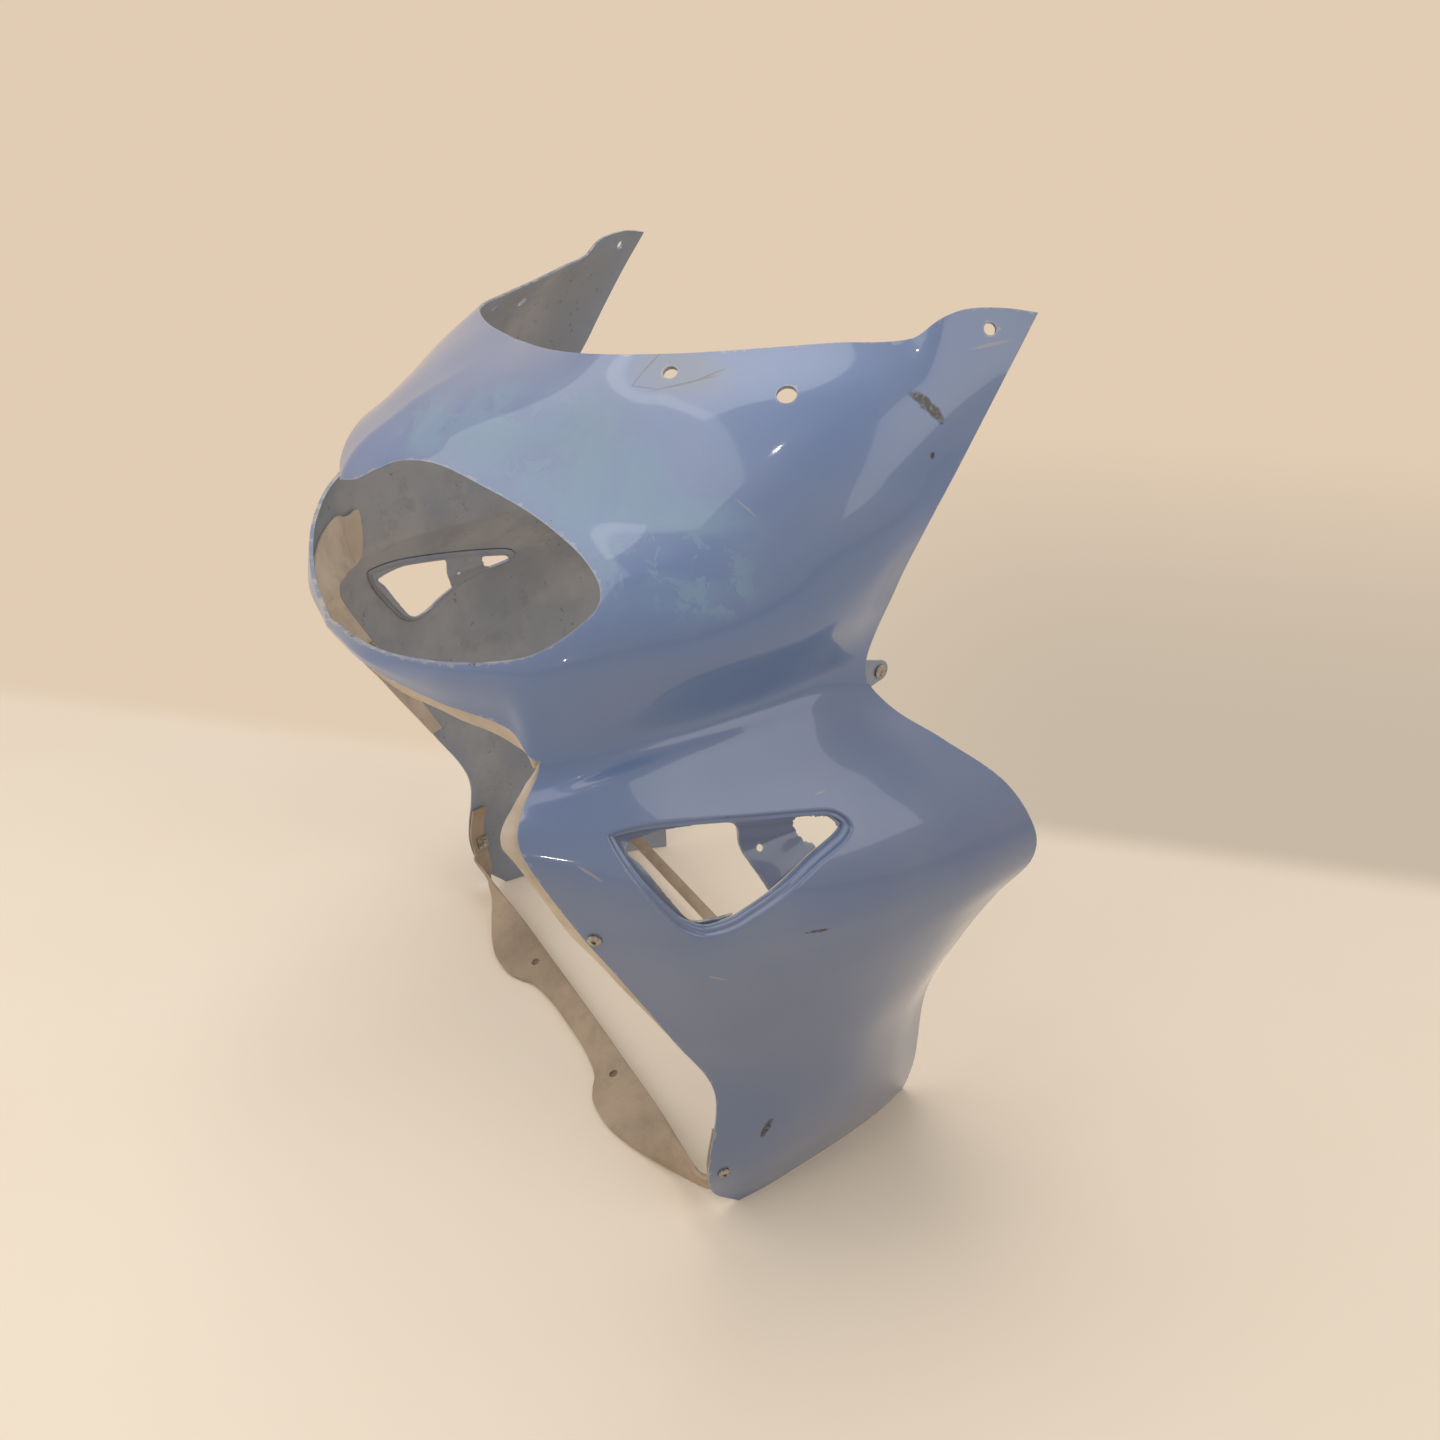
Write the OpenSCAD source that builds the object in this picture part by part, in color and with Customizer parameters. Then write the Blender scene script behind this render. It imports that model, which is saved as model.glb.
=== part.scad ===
// Motorcycle fairing: nose cowl, windscreen arms and both side panels in one
// painted moulding, with inner liners, a chin cross-piece and a rear brace.
// Frame: nose toward -Y, left side toward +X, +Z up, lower edges on Z = 0.

/* [Body] */
// Overall width across the side panels
body_w = 660; // [600:1:720]
// Overall length from the nose to the rear corners
body_l = 430; // [390:1:470]
// Overall height from the lower edges to the arm tips
body_h = 692; // [640:1:740]
// Wall of the moulding
wall = 3; // [2.5:0.1:4]

/* [Mounting holes] */
// Front windscreen hole at each side of the nose
screen_hole_d = 9.6; // [8:0.1:11]
// Mirror stay hole, the largest one
mirror_hole_d = 13; // [11:0.1:15]
// Hole near the tip of each arm
arm_hole_d = 8.2; // [7:0.1:9.5]

/* [Vents] */
// Depth of the recessed flange inside the vent lip
vent_recess = 7; // [6:0.5:9]

/* [Fasteners] */
// Thread diameter of the panel screws
screw_d = 5; // [4:0.5:6]
// Clearance of a panel screw in its hole, on the diameter
screw_clear = 0.5; // [0.2:0.1:1]
// Head diameter of the panel screws
head_d = 10; // [9:0.5:12]
// Head height of the panel screws
head_h = 2.8; // [2:0.1:3.5]

/* [Liners] */
// How far a liner reaches past the front edge of a side panel
liner_out = 12; // [8:0.5:16]
// How far a liner reaches past the lower lip of the nose
liner_lip = 20; // [14:0.5:24]
// Gap between a liner and the inner face of the moulding
liner_gap = 0.5; // [0.3:0.1:1]
// Thickness of the liners
liner_t = 2; // [1.5:0.1:3]

/* [Chin and brace] */
// Wall of the chin cross-piece
chin_t = 3; // [2.5:0.1:4]
// Diameter of the rear brace bar
brace_d = 13; // [10:0.5:16]

/* [Hidden] */
$fn = 48;

sx = body_w / 660;
sy = body_l / 430;
sz = body_h / 692;
// Place of the origin along the length of the sections, half-way between the
// nose and the rear corners
mid_y = 16.045;
function fy(y) = (y - mid_y) * sy;

// Colours
blue = [0.47, 0.58, 0.76];
grey = [0.56, 0.54, 0.50];
steel = [0.72, 0.71, 0.69];

// The left half of the skin, as sections from the top edge downward. Each
// section holds its place down the skin and its points [along, x, y, z], from
// the mid-plane (0) or the front edge (0.45) to the rear edge (1).
front_u = 0.45;
skin_rows = [
  // Windscreen edge, with the step up to the arm tip
  [0, [[0, 0, -36, 654], [0.15, 60, -34, 656], [0.3, 112, -20, 660],
       [0.45, 150, 18, 663], [0.6, 180, 57, 667], [0.75, 212, 97, 672],
       [0.86, 243, 134, 676], [0.89, 249, 150, 687], [0.92, 253, 168, 692],
       [0.96, 263, 190, 692], [1, 273, 209, 689]]],
  [45, [[0, 0, -76, 636], [0.15, 63, -73, 635], [0.3, 121, -55, 632],
        [0.45, 170, -10, 633], [0.6, 208, 34, 638], [0.75, 242, 79, 641],
        [0.88, 264, 127, 646], [1, 276, 186, 655]]],
  [100, [[0, 0, -126, 612], [0.15, 64, -116, 608], [0.3, 130, -88, 597],
         [0.45, 196, -50, 585], [0.6, 238, 1, 590], [0.75, 262, 52, 597],
         [0.88, 275, 103, 601], [1, 278, 150, 598]]],
  // Shoulder, the widest part of the cowl
  [150, [[0, 0, -173, 573], [0.15, 70, -159, 571], [0.3, 144, -124, 561],
         [0.45, 222, -84, 550], [0.6, 258, -22, 548], [0.75, 274, 40, 552],
         [0.88, 280, 91, 556], [1, 276, 129, 561]]],
  [200, [[0, 0, -199, 473], [0.15, 85, -189, 477], [0.3, 171, -163, 493],
         [0.45, 230, -122, 505], [0.6, 264, -42, 505], [0.75, 272, 30, 505],
         [0.88, 266, 85, 508], [1, 253, 126, 511]]],
  // Lower lip of the nose and waist of the sides
  [235, [[0, 0, -197, 456], [0.15, 82, -192, 461], [0.27, 150, -168, 458],
         [0.38, 203, -139, 454], [0.45, 226, -128, 438], [0.6, 243, -48, 446],
         [0.75, 246, 20, 452], [0.88, 243, 75, 456], [1, 239, 116, 450]]],
  [262, [[0, 0, -192, 430], [0.15, 80, -186, 436], [0.3, 165, -155, 433],
         [0.45, 232, -143, 415], [0.55, 253, -90, 425], [0.65, 257, -30, 430],
         [0.8, 256, 40, 432], [0.9, 252, 85, 430], [1, 244, 136, 418]]],
  // Side panel, flaring out over the vent
  [300, [[0.45, 242, -153, 398], [0.55, 272, -95, 400], [0.65, 286, -35, 398],
         [0.8, 290, 40, 396], [0.9, 284, 110, 396], [1, 268, 168, 393]]],
  [345, [[0.45, 252, -148, 374], [0.55, 292, -90, 365], [0.65, 312, -30, 360],
         [0.8, 318, 45, 358], [0.9, 312, 130, 360], [1, 295, 209, 358]]],
  [385, [[0.45, 260, -122, 320], [0.55, 298, -70, 322], [0.65, 320, -15, 322],
         [0.8, 330, 60, 322], [0.9, 328, 140, 320], [1, 312, 230, 318]]],
  [410, [[0.45, 263, -108, 295], [0.55, 298, -58, 296], [0.65, 319, -5, 296],
         [0.8, 329, 68, 296], [0.9, 328, 145, 294], [1, 314, 229, 291]]],
  [435, [[0.45, 265, -93, 268], [0.55, 296, -45, 268], [0.65, 316, 5, 268],
         [0.8, 325, 75, 268], [0.9, 321, 142, 266], [1, 303, 208, 261]]],
  [490, [[0.45, 268, -62, 210], [0.55, 290, -20, 210], [0.65, 305, 25, 212],
         [0.8, 312, 85, 214], [0.9, 305, 140, 214], [1, 287, 189, 213]]],
  [560, [[0.45, 270, -27, 140], [0.55, 282, 5, 140], [0.65, 291, 40, 142],
         [0.8, 293, 90, 144], [0.9, 282, 140, 146], [1, 262, 183, 145]]],
  [635, [[0.45, 272, -34, 62], [0.55, 277, 0, 62], [0.65, 280, 40, 62],
         [0.8, 276, 95, 62], [0.9, 263, 145, 60], [1, 241, 197, 48]]],
  // Foot, with the lower front corner
  [672, [[0.45, 264, -25, 25], [0.55, 269, 8, 24], [0.65, 268, 45, 24],
         [0.8, 263, 98, 24], [0.9, 252, 150, 23], [1, 235, 197, 18]]],
  [695, [[0.45, 262, 0, 0], [0.55, 261, 28, 0], [0.65, 258, 55, 0],
         [0.8, 252, 105, 0], [0.9, 243, 155, 0], [1, 231, 195, 0]]]
];
waist_row = 5;
nose_rows = waist_row + 2;
waist_v = skin_rows[waist_row][0];
foot_v = skin_rows[len(skin_rows) - 1][0];

// Outlines: headlight opening (half, seen from the front as [x, z]) and the
// vent (seen from the side as [y, z])
eye_outline = [[0, 570], [22, 575], [40, 585], [57, 593], [84, 594], [125, 585],
  [168, 574], [208, 560], [229, 546], [235, 531], [224, 512], [195, 500],
  [144, 487], [84, 476], [0, 469]];
vent_outline = [[-104, 396], [-99, 402], [-74, 404], [-40, 401], [-3, 396],
  [29, 391], [51, 386], [61, 376], [54, 367], [21, 356], [-20, 336], [-34, 328],
  [-52, 323], [-66, 329], [-77, 341], [-95, 371]];
// Through openings inside the vent: the main one and the smaller rear one
vent_main = [[-93, 388], [-77, 394], [-56, 395], [-22, 391], [-18, 372],
  [-8, 345], [-12, 336], [-26, 336], [-44, 332], [-58, 332], [-68, 345],
  [-84, 374]];
vent_rear = [[22, 384], [44, 380], [52, 374], [50, 369], [37, 361], [30, 367], [24, 371]];

// Smooth curve through points [t, ...], read at t
function slope(p, i) =
  i == 0 ? (p[1] - p[0]) / (p[1][0] - p[0][0])
  : i == len(p) - 1 ? (p[i] - p[i - 1]) / (p[i][0] - p[i - 1][0])
  : (p[i + 1] - p[i - 1]) / (p[i + 1][0] - p[i - 1][0]);
function span(p, t, i = 0) =
  i >= len(p) - 2 || t < p[i + 1][0] ? i : span(p, t, i + 1);
function blend(a, b, ma, mb, h, s) =
  (2 * s ^ 3 - 3 * s ^ 2 + 1) * a + (s ^ 3 - 2 * s ^ 2 + s) * h * ma
  + (3 * s ^ 2 - 2 * s ^ 3) * b + (s ^ 3 - s ^ 2) * h * mb;
function curve(p, t) =
  let (i = span(p, t), h = p[i + 1][0] - p[i][0])
  blend(p[i], p[i + 1], slope(p, i), slope(p, i + 1), h, (t - p[i][0]) / h);
function tail(q) = [for (k = [1:len(q) - 1]) q[k]];

// Point of the outer skin; a negative u is on the right side
function skin_half(u, v) =
  let (n = u < front_u - 0.0001 ? nose_rows : len(skin_rows))
  let (col = [for (k = [0:n - 1])
    concat([skin_rows[k][0]], tail(curve(skin_rows[k][1], u)))])
  let (q = curve(col, v))
  [q[1] * sx, fy(q[2]), q[3] * sz];
function skin(u, v) =
  let (q = skin_half(abs(u), v)) [u < 0 ? -q[0] : q[0], q[1], q[2]];

// Unit vector out of the skin
function unit(a) = a / norm(a);
function out_left(w, v) =
  let (u = min(w, 0.99))
  let (lo = v > waist_v + 0.01 ? max(u - 0.01, front_u) : u - 0.01)
  let (du = skin(min(u + 0.01, 1), v) - skin(lo, v))
  let (v1 = u < front_u - 0.0001 ? min(v + 3, waist_v) : min(v + 3, foot_v))
  let (dv = skin(u, v1) - skin(u, max(v - 3, 0)))
  unit(cross(dv, du));
function out(u, v) =
  let (q = out_left(abs(u), v)) [u < 0 ? -q[0] : abs(u) < 0.0001 ? 0 : q[0], q[1], q[2]];
function under(u, v, d) = skin(u, v) - d * out(u, v);

// Sheet between two depths under the skin, on a grid of [u] columns and [v] rows
function quad(a, b, c, d) = [[a, b, c], [a, c, d]];
function rim(p, q, n) = [[q, p, p + n], [q, p + n, q + n]];
module patch(us, vs, d0, d1) {
  nu = len(us);
  nv = len(vs);
  n = nu * nv;
  outer = [for (v = vs) for (u = us) under(u, v, d0)];
  inner = [for (v = vs) for (u = us) under(u, v, d1)];
  skins = [for (i = [0:nv - 2]) for (j = [0:nu - 2])
    let (a = i * nu + j) quad(a, a + 1, a + nu + 1, a + nu)];
  backs = [for (i = [0:nv - 2]) for (j = [0:nu - 2])
    let (a = i * nu + j + n) quad(a, a + nu, a + nu + 1, a + 1)];
  ends = [for (j = [0:nu - 2]) for (e = [rim(j, j + 1, n),
    rim((nv - 1) * nu + j + 1, (nv - 1) * nu + j, n)]) e];
  sides = [for (i = [0:nv - 2]) for (e = [rim((i + 1) * nu, i * nu, n),
    rim(i * nu + nu - 1, (i + 1) * nu + nu - 1, n)]) e];
  tris = [for (g = [skins, backs, ends, sides]) for (f = g) for (t = f) t];
  polyhedron(points = concat(outer, inner), faces = tris);
}

// Grid of the moulding: columns from the nose to the rear edge of each side,
// rows of the cowl down to the waist and of the side panels to the foot
grid_u = 40;
corner_j = round(front_u * grid_u);
cowl_v = [0, 8, 20, 35, 55, 78, 100, 125, 150, 175, 200, 218, waist_v];
ear_v = [for (d = [43, 67, 97]) foot_v - d];
side_v = [248, 262, 278, 300, 322, 345, 362, 378, 394, 410, 422, 435, 462, 490, 525,
          560, ear_v[2], ear_v[1], ear_v[0], 672, 684, foot_v];

module moulding() {
  nw = len(cowl_v) - 1;
  ns = len(side_v);
  row = 2 * grid_u + 1;
  half = grid_u - corner_j + 1;
  base = (nw + 1) * row;
  n = base + ns * 2 * half;
  cowl = [for (v = cowl_v) for (j = [-grid_u:grid_u]) [j / grid_u, v]];
  panels = [for (v = side_v) for (m = [0, 1]) for (j = [0:half - 1])
    [m == 0 ? -1 + j / grid_u : (corner_j + j) / grid_u, v]];
  places = concat(cowl, panels);
  outer = [for (p = places) skin(p[0], p[1])];
  inner = [for (p = places) let (q = under(p[0], p[1], wall))
    p[1] == foot_v ? [q[0], q[1], skin(p[0], foot_v)[2]] : q];
  function at(i, j) = i <= nw ? i * row + j + grid_u
    : base + (i - nw - 1) * 2 * half + (j < 0 ? j + grid_u : half + j - corner_j);
  function both(a, b, c, d) = concat(quad(a, b, c, d), quad(a + n, d + n, c + n, b + n));
  js = [for (j = [-grid_u:-corner_j - 1]) j, for (j = [corner_j:grid_u - 1]) j];
  cells = concat(
    [for (i = [0:nw - 1]) for (j = [-grid_u:grid_u - 1])
      both(at(i, j), at(i, j + 1), at(i + 1, j + 1), at(i + 1, j))],
    [for (i = [nw:nw + ns - 1]) for (j = js)
      both(at(i, j), at(i, j + 1), at(i + 1, j + 1), at(i + 1, j))]);
  top = [for (j = [-grid_u:grid_u - 1]) rim(at(0, j), at(0, j + 1), n)];
  lip = [for (j = [-corner_j:corner_j - 1]) rim(at(nw, j + 1), at(nw, j), n)];
  foot = [for (j = js) rim(at(nw + ns, j + 1), at(nw + ns, j), n)];
  rear = [for (i = [0:nw + ns - 1]) for (e = [
    rim(at(i, grid_u), at(i + 1, grid_u), n),
    rim(at(i + 1, -grid_u), at(i, -grid_u), n)]) e];
  front = [for (i = [nw:nw + ns - 1]) for (e = [
    rim(at(i + 1, corner_j), at(i, corner_j), n),
    rim(at(i, -corner_j), at(i + 1, -corner_j), n)]) e];
  tris = [for (g = [cells, top, lip, foot, rear, front]) for (f = g) for (t = f) t];
  polyhedron(points = concat(outer, inner), faces = tris);
}

// Helpers: both sides, a child standing on the skin, and prisms along X or Y
module pair() {
  children();
  mirror([1, 0, 0]) children();
}
module on_skin(u, v, depth = 0) {
  n = out(u, v);
  translate(under(u, v, depth)) rotate([0, acos(n[2]), atan2(n[1], n[0])]) children();
}
module drill(u, v, d) {
  on_skin(u, v) translate([0, 0, -wall - 9]) cylinder(d = d, h = wall + 18);
}
function smooth(p, n) =
  let (q = [for (i = [0:len(p) - 1]) [i, p[i][0], p[i][1]]])
  [for (i = [0:n * (len(p) - 1)]) tail(curve(q, i / n))];
// Span of the cuts through a side panel, inside and outside of it
side_in = 220 * sx;
side_deep = 160 * sx;
module eye_cut() {
  side = smooth(eye_outline, 3);
  all = concat(side, [for (i = [len(side) - 2:-1:1]) [-side[i][0], side[i][1]]]);
  translate([0, fy(-60), 0]) rotate([90, 0, 0]) linear_extrude(height = 200 * sy)
    polygon([for (p = all) [p[0] * sx, p[1] * sz]]);
}
function grow(p, g) = [for (i = [0:len(p) - 1])
  let (a = p[(i + len(p) - 1) % len(p)], b = p[(i + 1) % len(p)])
  let (t = unit(b - a)) p[i] + g * [-t[1], t[0]]];
module side_prism(p, g = 0) {
  q = grow([for (a = p) [fy(a[0]), a[1] * sz]], g);
  translate([side_in, 0, 0]) rotate([90, 0, 90]) linear_extrude(height = side_deep) polygon(q);
}

// Places of the fasteners and holes, as [u, v] on the skin
screen_hole = [0.449, 16];
mirror_hole = [0.665, 37];
arm_hole = [0.951, 13];
pan_hole = [0.7075, 322];
pan_hole_d = 5;
edge_screw = [0.4625, 386];
seam_screw = [0.4875, foot_v - 55];
brace_y = fy(150);
brace_z = 30 * sz;
brace_end = 248 * sx;
brace_gap = 0.3;
socket_in = 236 * sx;
socket_wall = 4;
socket_end = 1.7;
vent_u = [0.5:0.03:0.86];
vent_v = [284:10:394];
seat = 0.6;
vent_rim = 3;
hole_d = screw_d + screw_clear;

module vent_pan() {
  intersection() {
    patch([for (u = vent_u) u], [for (v = vent_v) v], 1, vent_recess + wall);
    difference() {
      side_prism(vent_outline, vent_rim);
      side_prism(vent_outline);
    }
  }
  intersection() {
    patch([for (u = vent_u) u], [for (v = vent_v) v], vent_recess, vent_recess + wall);
    difference() {
      side_prism(vent_outline, vent_rim / 2);
      side_prism(vent_main);
      side_prism(vent_rear);
      on_skin(pan_hole[0], pan_hole[1], vent_recess + wall + 2)
        cylinder(d = pan_hole_d, h = wall + 4);
    }
  }
}

// Lugs behind the rear edge: one at the waist for the stud, one near the foot
lug_t = 3;
lug_in = 1.5;
lug_root = 12;
waist_lug = [1, 240];
waist_lug_w = 24;
waist_lug_l = 22;
foot_lug = [1, 522];
foot_lug_w = 30;
foot_lug_l = 24;
foot_lug_d = 6.5;
module lug(place, w, l, hole) {
  on_skin(place[0], place[1], wall + lug_t - lug_in) difference() {
    hull() {
      translate([-w / 2, -lug_root, 0]) cube([w, lug_root, lug_t]);
      translate([0, l - w / 3, 0]) cylinder(r = w / 3, h = lug_t, $fn = 32);
    }
    translate([0, l - w / 3, -1]) cylinder(d = hole, h = lug_t + 2);
  }
}
module rear_lugs() {
  lug(waist_lug, waist_lug_w, waist_lug_l, hole_d);
  lug(foot_lug, foot_lug_w, foot_lug_l, foot_lug_d);
}

// Socket of the rear brace on the inner face of each side panel
module brace_socket() {
  translate([socket_in, brace_y, brace_z]) rotate([0, 90, 0])
    cylinder(d = brace_d + 2 * socket_wall, h = brace_end + socket_end - socket_in);
}

module fairing_shell() {
  color(blue) difference() {
    union() {
      difference() {
        moulding();
        eye_cut();
        pair() side_prism(vent_outline);
      }
      pair() vent_pan();
      pair() rear_lugs();
      pair() brace_socket();
    }
    pair() {
      drill(screen_hole[0], screen_hole[1], screen_hole_d);
      drill(mirror_hole[0], mirror_hole[1], mirror_hole_d);
      drill(arm_hole[0], arm_hole[1], arm_hole_d);
      drill(edge_screw[0], edge_screw[1], hole_d);
      drill(seam_screw[0], seam_screw[1], hole_d);
      translate([socket_in - 5, brace_y, brace_z]) rotate([0, 90, 0])
        cylinder(d = brace_d + brace_gap, h = brace_end + brace_gap - socket_in + 5);
    }
  }
}

// Liner: a ribbon behind the front edge that reaches past it. Each station has
// three places on the inner face, its reach past the edge and its extra depth.
step_u = 1 / grid_u;
band_u = front_u + step_u;
liner_end = 490;
function liner_stations() = concat(
  [for (j = [4:corner_j - 1]) let (u = j * step_u)
    [[u, 218], [u, 226], [u, waist_v],
     liner_lip * min(1, (u - 0.04) / 0.16, 0.4 + (front_u - u) / 0.12), 0]],
  [[[front_u, 218], [0.444, 226], [0.4375, waist_v], liner_lip * 0.45, 0.8],
   [[band_u, 218], [0.4625, 226], [front_u, waist_v + 0.5], liner_lip * 0.35, 1.2],
   [[band_u, waist_v], [0.4625, 238], [front_u, 241], liner_out * 0.45, 1.2]],
  [for (v = [for (w = side_v) if (w <= liner_end) w])
    [[band_u, v], [(front_u + band_u) / 2, v], [front_u, v],
     liner_out * min(1, 0.3 + (v - waist_v) / 60, 1 - 0.75 * (v - liner_end + 90) / 95),
     v < 270 ? 0.8 : v < 310 ? 0.4 : 0]]);
module liner() {
  rings = [for (s = liner_stations())
    let (d = wall + liner_gap + s[4])
    let (a = under(s[0][0], s[0][1], d), b = under(s[1][0], s[1][1], d))
    let (e = under(s[2][0], s[2][1], d), n = out(s[2][0], s[2][1]))
    let (t = e + s[3] * unit(e - b) - 0.25 * s[3] * n)
    [a, b, e, t, t - liner_t * n, e - liner_t * n,
     under(s[1][0], s[1][1], d + liner_t), under(s[0][0], s[0][1], d + liner_t)]];
  loft(rings);
}
// Closed body through rings of equal length
module loft(rings) {
  m = len(rings[0]);
  n = len(rings);
  pts = [for (r = rings) for (p = r) p];
  walls = [for (i = [0:n - 2]) for (j = [0:m - 1])
    let (k = (j + 1) % m) each [[i * m + j, i * m + k, (i + 1) * m + k],
      [i * m + j, (i + 1) * m + k, (i + 1) * m + j]]];
  first = [for (j = [m - 1:-1:0]) j];
  last = [for (j = [0:m - 1]) (n - 1) * m + j];
  polyhedron(points = pts, faces = concat(walls, [first, last]), convexity = 6);
}
module liner_left() {
  color(grey) difference() {
    liner();
    drill(edge_screw[0], edge_screw[1], hole_d);
  }
}
module liner_right() {
  mirror([1, 0, 0]) liner_left();
}

// Chin cross-piece: a lobed rail on the floor line, with ears that turn up behind
// the front edges of the side panels. Each station is [lower edge, upper edge].
chin_rail = [
  [[0, -37, 3], [0, -17, 18]], [[40, -38, 3], [40, -17, 18]],
  [[72, -43, 3], [74, -17, 18]], [[88, -52, 3], [95, -17, 18]],
  [[105, -59, 3], [115, -17, 18]], [[135, -60, 3], [140, -18, 20]],
  [[165, -53, 3], [165, -20, 23]], [[197, -41, 4], [192, -25, 28]],
  [[230, -27, 6], [216, -29, 32]], [[252, -22, 16], [240, -33, 38]],
  [[262, -16, 30], [255, -36, 44]]
];
chin_flat = 240 * sx;
chin_hole = [92, -32];
chin_hole_d = 8;
chin_side = concat(
  [for (s = chin_rail) [for (p = s) [p[0] * sx, fy(p[1]), p[2] * sz]]],
  [for (v = ear_v)
    [under(front_u + 2 * step_u, v, wall + seat), under(front_u, v, wall + seat)]]);
chin_all = concat(
  [for (i = [len(chin_side) - 1:-1:1]) [for (p = chin_side[i]) [-p[0], p[1], p[2]]]],
  chin_side);
function chin_ring(i) =
  let (a = chin_all[max(i - 1, 0)], s = chin_all[i])
  let (c = chin_all[min(i + 1, len(chin_all) - 1)], f = s[0], b = s[1])
  let (dn = -chin_t * unit(cross(c[0] + c[1] - a[0] - a[1], b - f)))
  let (crown = abs(f[0]) < chin_flat ? -0.8 * dn : [0, 0, 0])
  let (m1 = f + (b - f) * 0.3 + crown, m2 = f + (b - f) * 0.7 + crown)
  [f, m1, m2, b, b + dn, m2 + dn, m1 + dn, f + dn];
module chin_crosspiece() {
  color(grey) difference() {
    loft([for (i = [0:len(chin_all) - 1]) chin_ring(i)]);
    pair() translate([chin_hole[0] * sx, fy(chin_hole[1]), -5])
      cylinder(d = chin_hole_d, h = 40 * sz);
    pair() drill(seam_screw[0], seam_screw[1], hole_d);
  }
}

module rear_brace() {
  color(grey) translate([-brace_end, brace_y, brace_z]) rotate([0, 90, 0])
    cylinder(d = brace_d, h = 2 * brace_end);
}

// Panel screw with a domed head on the skin, and the clip nut behind it
module screw(place, grip) {
  on_skin(place[0], place[1]) {
    difference() {
      intersection() {
        translate([0, 0, 0.1]) cylinder(d = head_d, h = head_h);
        translate([0, 0, head_h + 0.1 - head_d * 0.9]) sphere(r = head_d * 0.9);
      }
      translate([0, 0, head_h - 1.2]) cylinder(d = 3.4, h = 4, $fn = 6);
    }
    translate([0, 0, -grip]) cylinder(d = screw_d, h = grip + 1);
  }
}
module clip_nut(place, depth) {
  on_skin(place[0], place[1], depth + 1.2) difference() {
    union() {
      translate([-7, -6, 0]) cube([14, 12, 1.2]);
      translate([0, 0, -4]) cylinder(d = screw_d + 3.5, h = 4.5);
    }
    translate([0, 0, -5]) cylinder(d = screw_d, h = 8);
  }
}
edge_stack = wall + liner_gap + liner_t + 0.6;
seam_stack = wall + seat + chin_t + 1.3;
module edge_screws() {
  color(steel) pair() screw(edge_screw, edge_stack + 8);
}
module seam_screws() {
  color(steel) pair() screw(seam_screw, seam_stack + 8);
}
module edge_clip_nuts() {
  color(steel) pair() clip_nut(edge_screw, edge_stack);
}
module seam_clip_nuts() {
  color(steel) pair() clip_nut(seam_screw, seam_stack);
}
stud_l = 12;
stud_head = 1.6;
module side_studs() {
  color(steel) pair() on_skin(waist_lug[0], waist_lug[1], wall - lug_in)
    translate([0, waist_lug_l - waist_lug_w / 3, 0]) {
      translate([0, 0, -stud_l]) cylinder(d = screw_d, h = stud_l + 1);
      translate([0, 0, 0.1]) cylinder(d = head_d, h = stud_head);
    }
}

fairing_shell();
liner_left();
liner_right();
chin_crosspiece();
rear_brace();
edge_screws();
seam_screws();
edge_clip_nuts();
seam_clip_nuts();
side_studs();
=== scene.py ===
import math
import bpy
import bmesh
import numpy as np
from mathutils import Matrix, Vector
from mathutils.kdtree import KDTree


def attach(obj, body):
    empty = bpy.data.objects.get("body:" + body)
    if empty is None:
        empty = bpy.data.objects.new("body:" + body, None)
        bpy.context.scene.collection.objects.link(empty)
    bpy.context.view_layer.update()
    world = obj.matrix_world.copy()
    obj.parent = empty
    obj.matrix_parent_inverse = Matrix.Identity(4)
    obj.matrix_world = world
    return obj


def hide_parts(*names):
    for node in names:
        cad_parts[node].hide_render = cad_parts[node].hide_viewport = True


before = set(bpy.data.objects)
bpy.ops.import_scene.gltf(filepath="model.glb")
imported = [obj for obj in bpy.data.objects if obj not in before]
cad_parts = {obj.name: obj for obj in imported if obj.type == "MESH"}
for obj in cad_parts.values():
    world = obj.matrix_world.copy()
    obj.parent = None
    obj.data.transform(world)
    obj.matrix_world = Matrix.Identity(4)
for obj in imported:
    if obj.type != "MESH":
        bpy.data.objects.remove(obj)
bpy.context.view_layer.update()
rng = np.random.default_rng(7)
CELL = 4.2

# The skin of the moulding, the same sections as the CAD source, in mm.
FRONT_U, WAIST, FOOT, WALL = 0.45, 235.0, 695.0, 3.0
MID = 16.045   # middle of the length, taken off every y given below
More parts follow.
